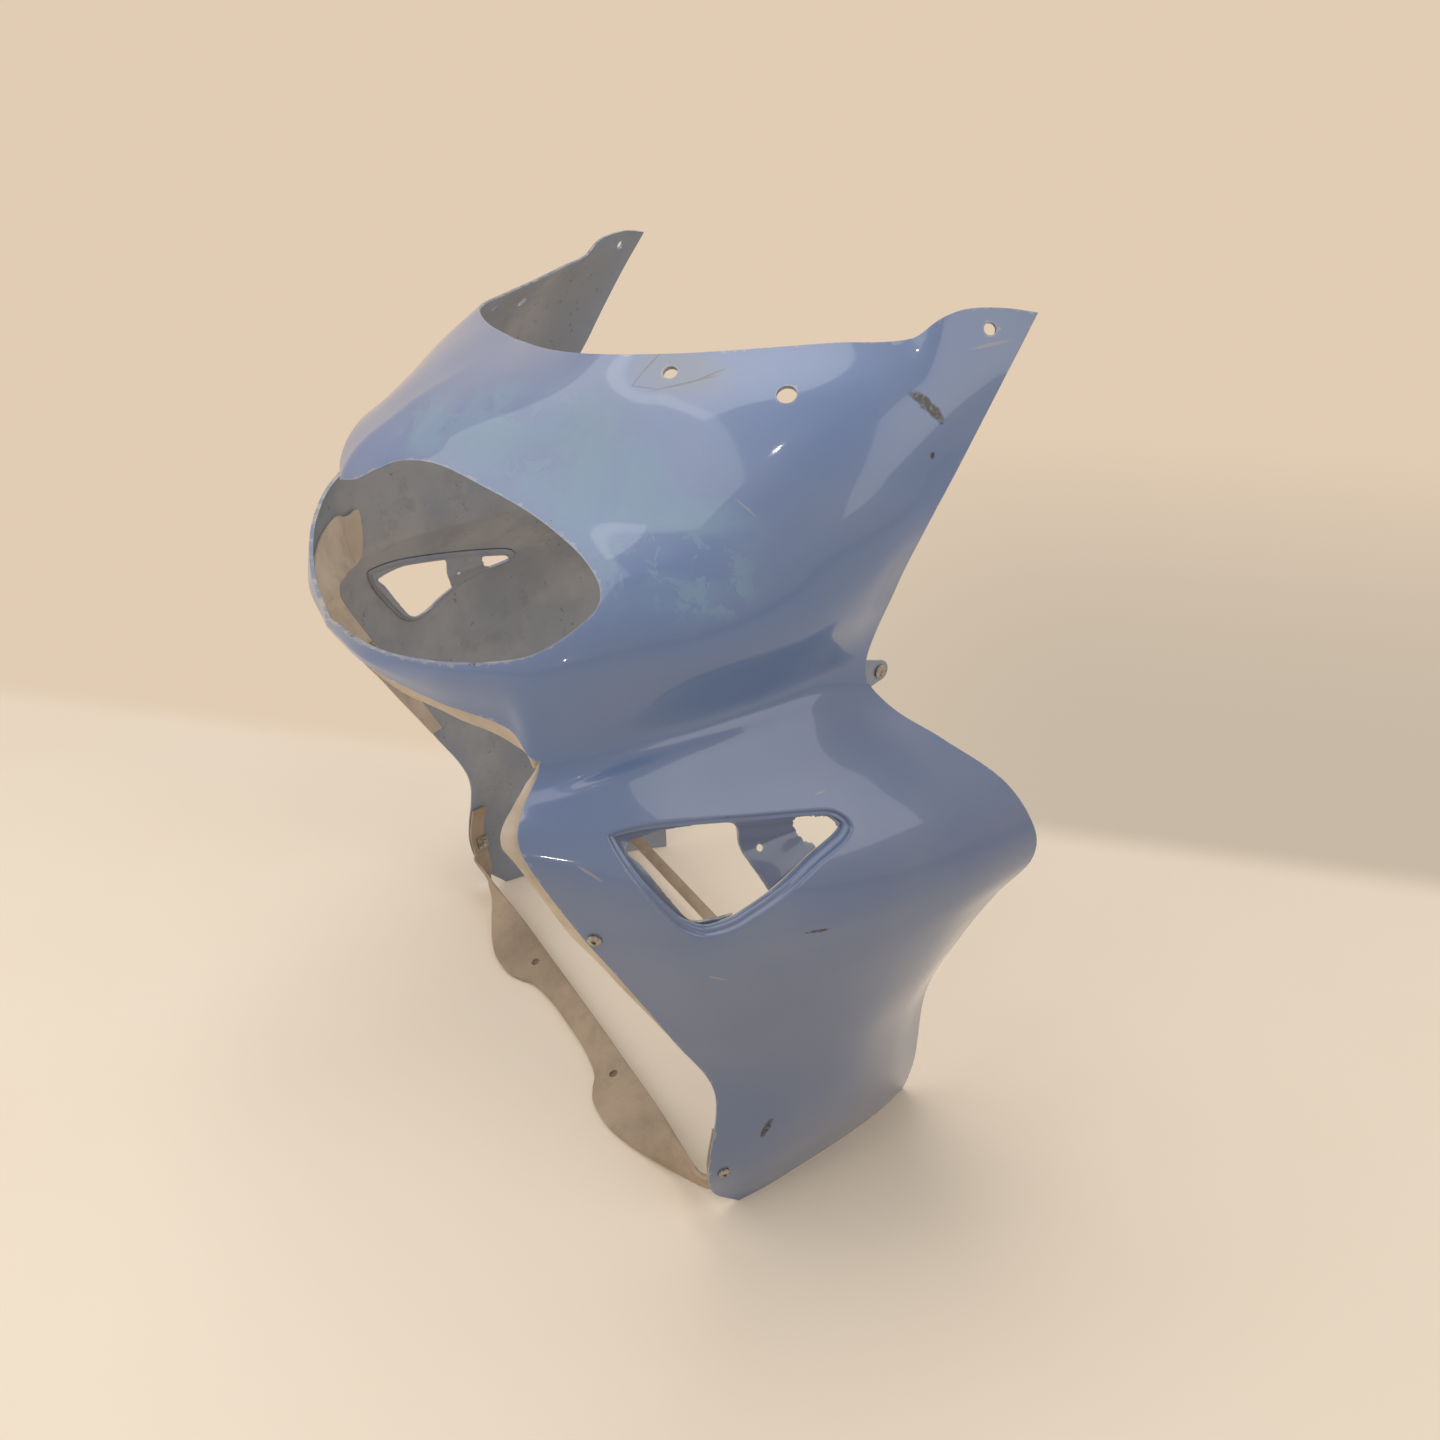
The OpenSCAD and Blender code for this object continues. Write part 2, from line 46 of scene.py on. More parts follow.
# Places (u, v) on the skin and sizes in mm of the holes and the brace
EDGE_SCREW, SEAM_SCREW, SCREW_HOLE = (0.4625, 386), (0.4875, 640), 5.5
PAN_HOLE, PAN_HOLE_D = (0.7075, 322), 5
SKIN_HOLES = ((0.449, 16, 9.6), (0.665, 37, 13.0), (0.951, 13, 8.2),
              (*EDGE_SCREW, SCREW_HOLE), (*SEAM_SCREW, SCREW_HOLE))
CHIN_HOLE, CHIN_HOLE_D = (92, -32 - MID), 8
BRACE_Y, BRACE_Z = 150 - MID, 30
ROWS = [
    (0, [[0, 0, -36, 654], [0.15, 60, -34, 656], [0.3, 112, -20, 660],
         [0.45, 150, 18, 663], [0.6, 180, 57, 667], [0.75, 212, 97, 672],
         [0.86, 243, 134, 676], [0.89, 249, 150, 687], [0.92, 253, 168, 692],
         [0.96, 263, 190, 692], [1, 273, 209, 689]]),
    (45, [[0, 0, -76, 636], [0.15, 63, -73, 635], [0.3, 121, -55, 632],
          [0.45, 170, -10, 633], [0.6, 208, 34, 638], [0.75, 242, 79, 641],
          [0.88, 264, 127, 646], [1, 276, 186, 655]]),
    (100, [[0, 0, -126, 612], [0.15, 64, -116, 608], [0.3, 130, -88, 597],
           [0.45, 196, -50, 585], [0.6, 238, 1, 590], [0.75, 262, 52, 597],
           [0.88, 275, 103, 601], [1, 278, 150, 598]]),
    (150, [[0, 0, -173, 573], [0.15, 70, -159, 571], [0.3, 144, -124, 561],
           [0.45, 222, -84, 550], [0.6, 258, -22, 548], [0.75, 274, 40, 552],
           [0.88, 280, 91, 556], [1, 276, 129, 561]]),
    (200, [[0, 0, -199, 473], [0.15, 85, -189, 477], [0.3, 171, -163, 493],
           [0.45, 230, -122, 505], [0.6, 264, -42, 505], [0.75, 272, 30, 505],
           [0.88, 266, 85, 508], [1, 253, 126, 511]]),
    (235, [[0, 0, -197, 456], [0.15, 82, -192, 461], [0.27, 150, -168, 458],
           [0.38, 203, -139, 454], [0.45, 226, -128, 438], [0.6, 243, -48, 446],
           [0.75, 246, 20, 452], [0.88, 243, 75, 456], [1, 239, 116, 450]]),
    (262, [[0, 0, -192, 430], [0.15, 80, -186, 436], [0.3, 165, -155, 433],
           [0.45, 232, -143, 415], [0.55, 253, -90, 425], [0.65, 257, -30, 430],
           [0.8, 256, 40, 432], [0.9, 252, 85, 430], [1, 244, 136, 418]]),
    (300, [[0.45, 242, -153, 398], [0.55, 272, -95, 400], [0.65, 286, -35, 398],
           [0.8, 290, 40, 396], [0.9, 284, 110, 396], [1, 268, 168, 393]]),
    (345, [[0.45, 252, -148, 374], [0.55, 292, -90, 365], [0.65, 312, -30, 360],
           [0.8, 318, 45, 358], [0.9, 312, 130, 360], [1, 295, 209, 358]]),
    (385, [[0.45, 260, -122, 320], [0.55, 298, -70, 322], [0.65, 320, -15, 322],
           [0.8, 330, 60, 322], [0.9, 328, 140, 320], [1, 312, 230, 318]]),
    (410, [[0.45, 263, -108, 295], [0.55, 298, -58, 296], [0.65, 319, -5, 296],
           [0.8, 329, 68, 296], [0.9, 328, 145, 294], [1, 314, 229, 291]]),
    (435, [[0.45, 265, -93, 268], [0.55, 296, -45, 268], [0.65, 316, 5, 268],
           [0.8, 325, 75, 268], [0.9, 321, 142, 266], [1, 303, 208, 261]]),
    (490, [[0.45, 268, -62, 210], [0.55, 290, -20, 210], [0.65, 305, 25, 212],
           [0.8, 312, 85, 214], [0.9, 305, 140, 214], [1, 287, 189, 213]]),
    (560, [[0.45, 270, -27, 140], [0.55, 282, 5, 140], [0.65, 291, 40, 142],
           [0.8, 293, 90, 144], [0.9, 282, 140, 146], [1, 262, 183, 145]]),
    (635, [[0.45, 272, -34, 62], [0.55, 277, 0, 62], [0.65, 280, 40, 62],
           [0.8, 276, 95, 62], [0.9, 263, 145, 60], [1, 241, 197, 48]]),
    (672, [[0.45, 264, -25, 25], [0.55, 269, 8, 24], [0.65, 268, 45, 24],
           [0.8, 263, 98, 24], [0.9, 252, 150, 23], [1, 235, 197, 18]]),
    (695, [[0.45, 262, 0, 0], [0.55, 261, 28, 0], [0.65, 258, 55, 0],
           [0.8, 252, 105, 0], [0.9, 243, 155, 0], [1, 231, 195, 0]]),
]
NOSE_ROWS = 7
EYE = [[0, 570], [22, 575], [40, 585], [57, 593], [84, 594], [125, 585],
       [168, 574], [208, 560], [229, 546], [235, 531], [224, 512], [195, 500],
       [144, 487], [84, 476], [0, 469]]
VENT = [[-104, 396], [-99, 402], [-74, 404], [-40, 401], [-3, 396],
        [29, 391], [51, 386], [61, 376], [54, 367], [21, 356], [-20, 336],
        [-34, 328], [-52, 323], [-66, 329], [-77, 341], [-95, 371]]
VENT_MAIN = [[-93, 388], [-77, 394], [-56, 395], [-22, 391], [-18, 372],
             [-8, 345], [-12, 336], [-26, 336], [-44, 332], [-58, 332],
             [-68, 345], [-84, 374]]
VENT_REAR = [[22, 384], [44, 380], [52, 374], [50, 369], [37, 361], [30, 367],
             [24, 371]]
VENT, VENT_MAIN, VENT_REAR = ([[y - MID, z] for y, z in line]
                              for line in (VENT, VENT_MAIN, VENT_REAR))


def hermite(ts, P, t):
    """Smooth curve through points P at knots ts, read at every t."""
    ts = np.asarray(ts, float)
    P = np.asarray(P, float)
    i = np.clip(np.searchsorted(ts, t, side="right") - 1, 0, len(ts) - 2)
    shape = [-1] + [1] * (P.ndim - 1)
    M = np.empty_like(P)
    M[0] = (P[1] - P[0]) / (ts[1] - ts[0])
    M[-1] = (P[-1] - P[-2]) / (ts[-1] - ts[-2])
    M[1:-1] = (P[2:] - P[:-2]) / (ts[2:] - ts[:-2]).reshape(shape)
    h = ts[i + 1] - ts[i]
    s = (t - ts[i]) / h
    if P.ndim == 3:
        k = np.arange(len(t))
        a, b, ma, mb = P[i, k], P[i + 1, k], M[i, k], M[i + 1, k]
    else:
        a, b, ma, mb = P[i], P[i + 1], M[i], M[i + 1]
    s, h = s[:, None], h[:, None]
    return ((2 * s ** 3 - 3 * s ** 2 + 1) * a + (s ** 3 - 2 * s ** 2 + s) * h * ma
            + (3 * s ** 2 - 2 * s ** 3) * b + (s ** 3 - s ** 2) * h * mb)


def skin(u, v):
    """Points of the outer skin in mm. A negative u is on the right side."""
    u = np.atleast_1d(np.asarray(u, float))
    v = np.atleast_1d(np.asarray(v, float))
    w = np.abs(u)
    ks = np.array([r[0] for r in ROWS], float)
    side = [hermite([p[0] for p in r[1]], [p[1:] for p in r[1]], np.maximum(w, r[1][0][0]))
            for r in ROWS]
    side = np.array(side)
    q = hermite(ks, side, v)
    nose = w < FRONT_U - 1e-4
    if nose.any():
        q[nose] = hermite(ks[:NOSE_ROWS], side[:NOSE_ROWS][:, nose], v[nose])
    q[:, 0] *= np.where(u < 0, -1.0, 1.0)
    q[:, 1] -= MID
    return q


def unit(a):
    return a / np.maximum(np.linalg.norm(a, axis=-1, keepdims=True), 1e-9)


def out(u, v):
    """Unit vectors out of the skin."""
    u = np.atleast_1d(np.asarray(u, float))
    v = np.atleast_1d(np.asarray(v, float))
    w = np.minimum(np.abs(u), 0.99)
    lo = np.where(v > WAIST + 0.01, np.maximum(w - 0.01, FRONT_U), w - 0.01)
    hi = np.minimum(w + 0.01, 1.0)
    flip = np.where(lo < 0, -1.0, 1.0)[:, None] * [1, 0, 0] + [0, 1, 1]
    du = skin(hi, v) - skin(np.abs(lo), v) * flip
    v1 = np.where(w < FRONT_U - 1e-4, np.minimum(v + 3, WAIST), np.minimum(v + 3, FOOT))
    dv = skin(w, v1) - skin(w, np.maximum(v - 3, 0))
    n = unit(np.cross(dv, du))
    n[:, 0] *= np.where(np.abs(u) < 1e-4, 0.0, np.where(u < 0, -1.0, 1.0))
    return unit(n)


def under(u, v, d):
    d = np.asarray(d, float)
    return skin(u, v) - (d[:, None] if d.ndim else d) * out(u, v)


def at(u, v, d=0.0):
    return under([u], [v], d)[0]


def closed_curve(pts, n):
    """Smooth closed curve through the points, n steps to each."""
    P = np.asarray(pts, float)
    k = len(P)
    s = np.arange(n)[:, None] / n
    res = []
    for i in range(k):
        a, b, c, d = P[i - 1], P[i], P[(i + 1) % k], P[(i + 2) % k]
        res.append(0.5 * (2 * b + (c - a) * s + (2 * a - 5 * b + 4 * c - d) * s ** 2
                          + (3 * b - a - 3 * c + d) * s ** 3))
    return np.vstack(res)


def even(P, step, closed=True):
    """The same line with points an equal step apart."""
    Q = np.vstack([P, P[:1]]) if closed else P
    L = np.r_[0, np.cumsum(np.linalg.norm(np.diff(Q, axis=0), axis=1))]
    n = max(int(round(L[-1] / step)), 8)
    t = np.linspace(0, L[-1], n + 1)
    R = np.stack([np.interp(t, L, Q[:, i]) for i in range(Q.shape[1])], axis=1)
    return R[:-1] if closed else R


def inset(P, g):
    """A closed line moved inward by g."""
    t = np.roll(P, -1, 0) - np.roll(P, 1, 0)
    t = unit(t)
    n = np.stack([-t[:, 1], t[:, 0]], 1)
    area = np.sum(P[:, 0] * np.roll(P[:, 1], -1) - np.roll(P[:, 0], -1) * P[:, 1])
    return P + (g if area > 0 else -g) * n


# Materials

def lin(r, g, b):
    """A colour given as seen on screen, for a shader."""
    return tuple(c / 12.92 if c <= 0.04045 else ((c + 0.055) / 1.055) ** 2.4
                 for c in (r, g, b)) + (1.0,)


class Nodes:
    """Short calls for the nodes of one material."""

    def __init__(self, name):
        self.mat = bpy.data.materials.new(name)
        self.mat.use_nodes = True
        self.t = self.mat.node_tree
        self.b = self.t.nodes["Principled BSDF"]
        c = self.t.nodes.new("ShaderNodeTexCoord")
        self.p = c.outputs["Object"]

    def link(self, a, b):
        self.t.links.new(a, b)

    def put(self, node, key, value):
        s = node.inputs[key]
        if isinstance(value, bpy.types.NodeSocket):
            self.link(value, s)
        else:
            s.default_value = value

    def noise(self, scale, detail=3.0, rough=0.55, at=None, stretch=None, dist=0.0):
        n = self.t.nodes.new("ShaderNodeTexNoise")
        src = at or self.p
        if stretch:
            m = self.t.nodes.new("ShaderNodeMapping")
            m.inputs["Scale"].default_value = stretch
            self.link(src, m.inputs["Vector"])
            src = m.outputs["Vector"]
        self.link(src, n.inputs["Vector"])
        n.inputs["Scale"].default_value = scale
        n.inputs["Detail"].default_value = detail
        n.inputs["Roughness"].default_value = rough
        n.inputs["Distortion"].default_value = dist
        return n.outputs["Fac"]

    def ramp(self, fac, lo, hi, a=0.0, b=1.0, smooth=True):
        n = self.t.nodes.new("ShaderNodeMapRange")
        n.interpolation_type = "SMOOTHSTEP" if smooth else "LINEAR"
        for k, v in (("Value", fac), ("From Min", lo), ("From Max", hi),
                     ("To Min", a), ("To Max", b)):
            self.put(n, k, v)
        return n.outputs["Result"]

    def math(self, op, a, b=0.0, clamp=False):
        n = self.t.nodes.new("ShaderNodeMath")
        n.operation = op
        n.use_clamp = clamp
        self.put(n, 0, a)
        self.put(n, 1, b)
        return n.outputs[0]

    def mix(self, fac, a, b):
        n = self.t.nodes.new("ShaderNodeMix")
        n.data_type = "RGBA"
        self.put(n, 0, fac)
        for k, v in ((6, a), (7, b)):
            self.put(n, k, v)
        return n.outputs[2]

    def blob(self, centre, radii, turn=(0, 0, 0), edge=0.35, wobble=0.5, scale=60.0):
        """1 inside a soft ellipsoid round a place on the object, in metres."""
        m = self.t.nodes.new("ShaderNodeMapping")
        m.vector_type = "TEXTURE"
        m.inputs["Location"].default_value = centre
        m.inputs["Rotation"].default_value = turn
        m.inputs["Scale"].default_value = radii
        self.link(self.p, m.inputs["Vector"])
        n = self.t.nodes.new("ShaderNodeVectorMath")
        n.operation = "LENGTH"
        self.link(m.outputs["Vector"], n.inputs[0])
        d = self.math("ADD", n.outputs["Value"],
                      self.ramp(self.noise(scale, 4.0, 0.6), 0.2, 0.8, -wobble, wobble, False))
        return self.ramp(d, 1.0 - edge, 1.0 + edge, 1.0, 0.0)

    def height(self):
        n = self.t.nodes.new("ShaderNodeSeparateXYZ")
        self.link(self.p, n.inputs[0])
        return n.outputs["Z"]

    def attr(self, name):
        n = self.t.nodes.new("ShaderNodeAttribute")
        n.attribute_name = name
        return n.outputs["Fac"]

    def bump(self, height, strength=0.3, dist=0.001, normal=None):
        n = self.t.nodes.new("ShaderNodeBump")
        n.inputs["Strength"].default_value = strength
        n.inputs["Distance"].default_value = dist
        self.link(height, n.inputs["Height"])
        if normal is not None:
            self.link(normal, n.inputs["Normal"])
        return n.outputs["Normal"]

    def most(self, items):
        r = items[0]
        for i in items[1:]:
            r = self.math("MAXIMUM", r, i)
        return r


def along(a, b):
    """Middle, half length and turn of a mark between two places in mm."""
    a, b = np.array(a, float), np.array(b, float)
    d = Vector(b - a)
    e = d.to_track_quat("X", "Z").to_euler()
    return tuple((a + b) / 2000), d.length / 2000, tuple(e)


def paint_material(name="paint_blue_mat", painted_shade=0.0):
    m = Nodes(name)
    base = m.mix(m.ramp(m.noise(3.2, 3.0), 0.35, 0.7), lin(0.365, 0.465, 0.640),
                 lin(0.415, 0.510, 0.685))
    base = m.mix(m.ramp(m.noise(900.0, 1.0), 0.3, 0.75, 0.0, 0.05), base,
                 lin(0.55, 0.62, 0.75))
    # Painted shade: the paint darkens and greys towards the bottom of the panels
    low = m.ramp(m.height(), 0.48, 0.26, 0.0, 0.5)
    base = m.mix(low, base, lin(0.37, 0.395, 0.465))
    # Haze and dust in soft random patches
    dust = m.ramp(m.noise(9.0, 2.0, 0.5), 0.35, 0.85)
    base = m.mix(m.math("MULTIPLY", dust, 0.14), base, lin(0.62, 0.62, 0.60))
    # Old adhesive film on the nose, in soft uneven patches
    zone = m.most([m.blob(centre, radii, edge=0.5, wobble=0.35, scale=24.0)
                   for centre, radii in RESIDUE])
    flakes = m.ramp(m.noise(42.0, 6.0, 0.7, dist=0.6), 0.50, 0.56)
    broad = m.ramp(m.noise(11.0, 3.0, 0.6, dist=0.9), 0.42, 0.60)
    film = m.math("MULTIPLY", zone, m.most([m.math("MULTIPLY", flakes, 0.8), broad]))
    base = m.mix(m.math("MULTIPLY", film, 0.50), base, lin(0.49, 0.62, 0.69))
    # Pale repair patch round the screen hole, with its cracks
    c, h, t = along(at(0.395, 8), at(0.535, 24))
    patch = m.blob(c, (h * 1.05, 0.014, 0.03), t, edge=0.45, wobble=0.35, scale=34.0)
    base = m.mix(m.math("MULTIPLY", patch, 0.42), base, lin(0.60, 0.61, 0.61))
    cracks = []
    for a, b in (((0.415, 1), (0.402, 15)), ((0.402, 15), (0.396, 27)), ((0.396, 27), (0.43, 29)),
                 ((0.44, 30), (0.50, 24)), ((0.47, 27), (0.535, 21)), ((0.50, 24), (0.548, 16))):
        c, h, t = along(at(*a), at(*b))
        cracks.append(m.blob(c, (h * 1.1, 0.0005, 0.002), t, edge=0.4, wobble=0.5, scale=90.0))
    crack = m.most(cracks)
    base = m.mix(m.math("MULTIPLY", crack, 0.6), base, lin(0.40, 0.38, 0.37))
    # Scuffs and scratches, each [place, place, half width, colour]
    dark = []
    for a, b, w in ((at(0.866, 43), at(0.925, 66), 0.0026), (at(0.933, 87), at(0.937, 91), 0.0016),
                    (at(0.585, 597), at(0.572, 612), 0.0018),
                    (at(0.66, 300), at(0.672, 301), 0.0012), (at(0.70, 392), at(0.735, 394), 0.0007)):
        c, h, t = along(a, b)
        dark.append(m.blob(c, (h * 1.15, w, w * 1.6), t, edge=0.3, wobble=0.45, scale=190.0))
    scuff = m.math("MULTIPLY", m.most(dark), m.ramp(m.noise(420.0, 4.0, 0.7), 0.30, 0.50))
    base = m.mix(scuff, base, lin(0.17, 0.17, 0.18))
    pale = []
    for a, b, w in ((at(0.938, 24), at(0.974, 22), 0.0007), (at(0.50, 330), at(0.512, 338), 0.0005),
                    (at(0.62, 100), at(0.65, 110), 0.0004), (at(0.80, 300), at(0.812, 300), 0.0005),
                    (at(0.56, 420), at(0.575, 424), 0.0005)):
        c, h, t = along(a, b)
        pale.append(m.blob(c, (h * 1.2, w, w * 2.0), t, edge=0.4, wobble=0.5, scale=170.0))
    pale = m.most(pale)
    base = m.mix(m.math("MULTIPLY", pale, 0.5), base, lin(0.66, 0.64, 0.60))
    # Chipped and rubbed edges, from the distance to the nearest edge; the pale band is partly rubbed
    # paint and partly a painted highlight where the rims catch light
    d = m.attr("edge_mm")
    rub_and_edge_highlight = m.ramp(m.math("SUBTRACT", d, m.ramp(m.noise(95.0, 5.0, 0.7), 0.45, 0.75, 0.0, 3.4)),
                 0.0, 1.1, 1.0, 0.0)
    base = m.mix(m.math("MULTIPLY", rub_and_edge_highlight, 0.55), base, lin(0.63, 0.64, 0.66))
    chip = m.ramp(m.math("SUBTRACT", d, m.ramp(m.noise(38.0, 5.0, 0.75), 0.60, 0.78, -1.0, 5.0)),
                  0.0, 0.7, 1.0, 0.0)
    base = m.mix(m.math("MULTIPLY", chip, 0.85), base, lin(0.33, 0.27, 0.23))
    # Painted shade: a darker blue mixed in, for the vent pan as the shadowed recess
    if painted_shade:
        base = m.mix(painted_shade, base, lin(0.20, 0.24, 0.34))
    m.put(m.b, "Base Color", base)
    rough = m.ramp(m.noise(12.0, 2.0, 0.5), 0.3, 0.75, 0.285, 0.34)
    rough = m.math("ADD", rough, m.math("MULTIPLY", m.most([film, patch, scuff, pale, chip]), 0.32))
    m.put(m.b, "Roughness", rough)
    fine = m.noise(420.0, 2.0, 0.5)
    n = m.bump(fine, 0.02, 0.0004)
    n = m.bump(m.noise(9.0, 2.0, 0.5), 0.10, 0.0016, n)
    n = m.bump(m.math("ADD", m.math("MULTIPLY", film, 0.6), m.math("ADD", patch,
               m.math("MULTIPLY", m.most([scuff, chip, crack]), -1.2))), 0.35, 0.0003, n)
    m.put(m.b, "Normal", n)
    m.b.inputs["Coat Weight"].default_value = 0.85
    m.b.inputs["Coat Roughness"].default_value = 0.05
    return m.mat


def inner_material():
    m = Nodes("inner_face_mat")
    base = m.mix(m.ramp(m.noise(6.0, 4.0, 0.6), 0.38, 0.66), lin(0.54, 0.56, 0.60),
                 lin(0.64, 0.645, 0.665))
    base = m.mix(m.ramp(m.noise(23.0, 6.0, 0.7), 0.5, 0.75, 0.0, 0.45), base,
                 lin(0.46, 0.46, 0.47))
    base = m.mix(m.ramp(m.noise(120.0, 3.0, 0.6), 0.64, 0.72, 0.0, 0.4), base,
                 lin(0.30, 0.28, 0.26))
    spray = m.ramp(m.attr("edge_mm"), 1.0, 22.0, 1.0, 0.0)
    spray = m.math("MULTIPLY", spray, m.ramp(m.noise(30.0, 4.0), 0.3, 0.6, 0.35, 1.0))
    base = m.mix(m.math("MULTIPLY", spray, 0.4), base, lin(0.52, 0.57, 0.67))
    m.put(m.b, "Base Color", base)
    m.put(m.b, "Roughness", m.ramp(m.noise(40.0, 4.0), 0.3, 0.7, 0.48, 0.66))
    n = m.bump(m.noise(650.0, 3.0, 0.6), 0.22, 0.0005)
    m.put(m.b, "Normal", m.bump(m.noise(25.0, 4.0, 0.6), 0.20, 0.0012, n))
    return m.mat


def edge_material():
    m = Nodes("edge_mat")
    # Rim faces: partly the raw cut edge's own pale colour, partly a painted highlight where the thin
    # rim catches light; dark chips over it
    base = m.mix(m.ramp(m.noise(60.0, 4.0, 0.7), 0.42, 0.62), lin(0.50, 0.56, 0.66),
                 lin(0.70, 0.69, 0.66))
    base = m.mix(m.ramp(m.noise(34.0, 5.0, 0.75), 0.56, 0.66, 0.0, 0.85), base,
                 lin(0.34, 0.28, 0.23))
    m.put(m.b, "Base Color", base)
    m.put(m.b, "Roughness", m.ramp(m.noise(200.0, 2.0), 0.3, 0.7, 0.38, 0.58))
    m.put(m.b, "Normal", m.bump(m.noise(500.0, 3.0, 0.7), 0.3, 0.0004))
    return m.mat


def grey_material(name, a, b, dirt, rough=(0.50, 0.68)):
    m = Nodes(name)
    base = m.mix(m.ramp(m.noise(11.0, 4.0, 0.6), 0.35, 0.68), a, b)
    base = m.mix(m.ramp(m.noise(34.0, 5.0, 0.65), 0.48, 0.80, 0.0, 0.42), base, dirt)
    base = m.mix(m.ramp(m.noise(700.0, 2.0, 0.6), 0.58, 0.72, 0.0, 0.28), base,
                 lin(0.78, 0.75, 0.70))
    c, h, t = along((52, -195 - MID, 446), (66, -192 - MID, 444))
    stain = m.blob(c, (h * 1.2, 0.008, 0.010), t, edge=0.3, wobble=0.5, scale=120.0)
    base = m.mix(m.math("MULTIPLY", stain, 0.8), base, lin(0.26, 0.20, 0.15))
    m.put(m.b, "Base Color", base)
    m.put(m.b, "Roughness", m.ramp(m.noise(30.0, 4.0), 0.3, 0.7, rough[0], rough[1]))
    n = m.bump(m.noise(820.0, 3.0, 0.6), 0.30, 0.0004)
    m.put(m.b, "Normal", m.bump(m.noise(60.0, 4.0, 0.6), 0.22, 0.0008, n))
    return m.mat


def steel_material():
    m = Nodes("zinc_steel_mat")
    base = m.mix(m.ramp(m.noise(260.0, 4.0, 0.6), 0.4, 0.65), lin(0.72, 0.71, 0.68),
                 lin(0.55, 0.53, 0.49))
    base = m.mix(m.ramp(m.noise(420.0, 5.0, 0.7), 0.54, 0.66, 0.0, 0.8), base,
                 lin(0.40, 0.27, 0.17))
    m.put(m.b, "Base Color", base)
    m.b.inputs["Metallic"].default_value = 0.9
    m.put(m.b, "Roughness", m.ramp(m.noise(300.0, 3.0), 0.3, 0.7, 0.28, 0.55))
    m.put(m.b, "Normal", m.bump(m.noise(900.0, 3.0, 0.6), 0.25, 0.0003))
    return m.mat


RESIDUE = [(tuple(at(u, v) / 1000), r) for u, v, r in (
    (0.20, 78, (0.060, 0.035, 0.030)), (0.33, 68, (0.040, 0.034, 0.034)),
    (0.43, 96, (0.046, 0.040, 0.036)), (0.53, 128, (0.040, 0.050, 0.030)),
    (0.60, 150, (0.026, 0.034, 0.020)), (0.10, 96, (0.040, 0.026, 0.020)))]
PAINT = paint_material()
# Darker copy of the paint for the vent pan: painted shade of the recess
SHADED_PAN = paint_material("vent_pan_shaded_mat", 0.55)
INNER = inner_material()
EDGE = edge_material()
LINER = grey_material("liner_grey_mat", lin(0.76, 0.70, 0.63), lin(0.84, 0.78, 0.70),
                      lin(0.55, 0.48, 0.41))
BARE = grey_material("bare_grey_mat", lin(0.60, 0.525, 0.445), lin(0.69, 0.61, 0.52),
                     lin(0.46, 0.39, 0.32), (0.55, 0.74))
STEEL = steel_material()


# Meshes

def make(name, verts_mm, faces, mats, idx=None, uv=None):
    me = bpy.data.meshes.new(name)
    me.from_pydata((np.asarray(verts_mm, float) / 1000).tolist(), [],
                   [list(map(int, f)) for f in faces])
    for m in mats:
        me.materials.append(m)
    if idx is not None:
        me.polygons.foreach_set("material_index", np.asarray(idx, np.int32))
    if uv is not None:
        layer = me.uv_layers.new(name="skin")
        loop = np.empty(len(me.loops), np.int32)
        me.loops.foreach_get("vertex_index", loop)
        layer.data.foreach_set("uv", uv[loop].astype(np.float32).ravel())
    me.validate()
    me.update()
    ob = bpy.data.objects.new(name, me)
    bpy.context.scene.collection.objects.link(ob)
    return ob


def prism(name, poly, axis, lo, hi, mat):
    """A closed prism: poly is [a, b] pairs in the plane across the axis."""
    P = np.asarray(poly, float)
    n = len(P)
    cols = {"x": (1, 2), "y": (0, 2), "z": (0, 1)}[axis]
    k = "xyz".index(axis)
    V = np.zeros((2 * n, 3))
    V[:n, cols[0]], V[:n, cols[1]], V[:n, k] = P[:, 0], P[:, 1], lo
    V[n:, cols[0]], V[n:, cols[1]], V[n:, k] = P[:, 0], P[:, 1], hi
    F = [list(range(n)), list(range(2 * n - 1, n - 1, -1))]
    F += [[i, i + n, (i + 1) % n + n, (i + 1) % n] for i in range(n)]
    ob = make(name, V, F, [mat])
    outward(ob)
    return ob


def rod(name, centre, axis, d, length, mat, n=48):
    """A closed cylinder about an axis, for cutting or as a base form."""
    bm = bmesh.new()
    bmesh.ops.create_cone(bm, cap_ends=True, segments=n, radius1=d / 2000, radius2=d / 2000,
                          depth=length / 1000)
    me = bpy.data.meshes.new(name)
    rot = Vector(axis).to_track_quat("Z", "Y").to_matrix().to_4x4()
    bm.transform(Matrix.Translation(Vector(np.asarray(centre, float) / 1000)) @ rot)
    bm.to_mesh(me)
    bm.free()
    me.materials.append(mat)
    ob = bpy.data.objects.new(name, me)
    bpy.context.scene.collection.objects.link(ob)
    return ob


def outward(ob):
    bm = bmesh.new()
    bm.from_mesh(ob.data)
    bmesh.ops.recalc_face_normals(bm, faces=bm.faces)
    bm.to_mesh(ob.data)
    bm.free()


def join(name, obs):
    """One mesh from several closed ones that don't touch."""
    bm = bmesh.new()
    mats = []
    for o in obs:
        start = len(bm.faces)
        bm.from_mesh(o.data)
        bm.faces.ensure_lookup_table()
        for f in bm.faces[start:]:
            m = o.data.materials[f.material_index]
            if m not in mats:
                mats.append(m)
            f.material_index = mats.index(m)
    me = bpy.data.meshes.new(name)
    bm.to_mesh(me)
    bm.free()
    for m in mats:
        me.materials.append(m)
    for o in obs:
        bpy.data.objects.remove(o, do_unlink=True)
    ob = bpy.data.objects.new(name, me)
    bpy.context.scene.collection.objects.link(ob)
    return ob


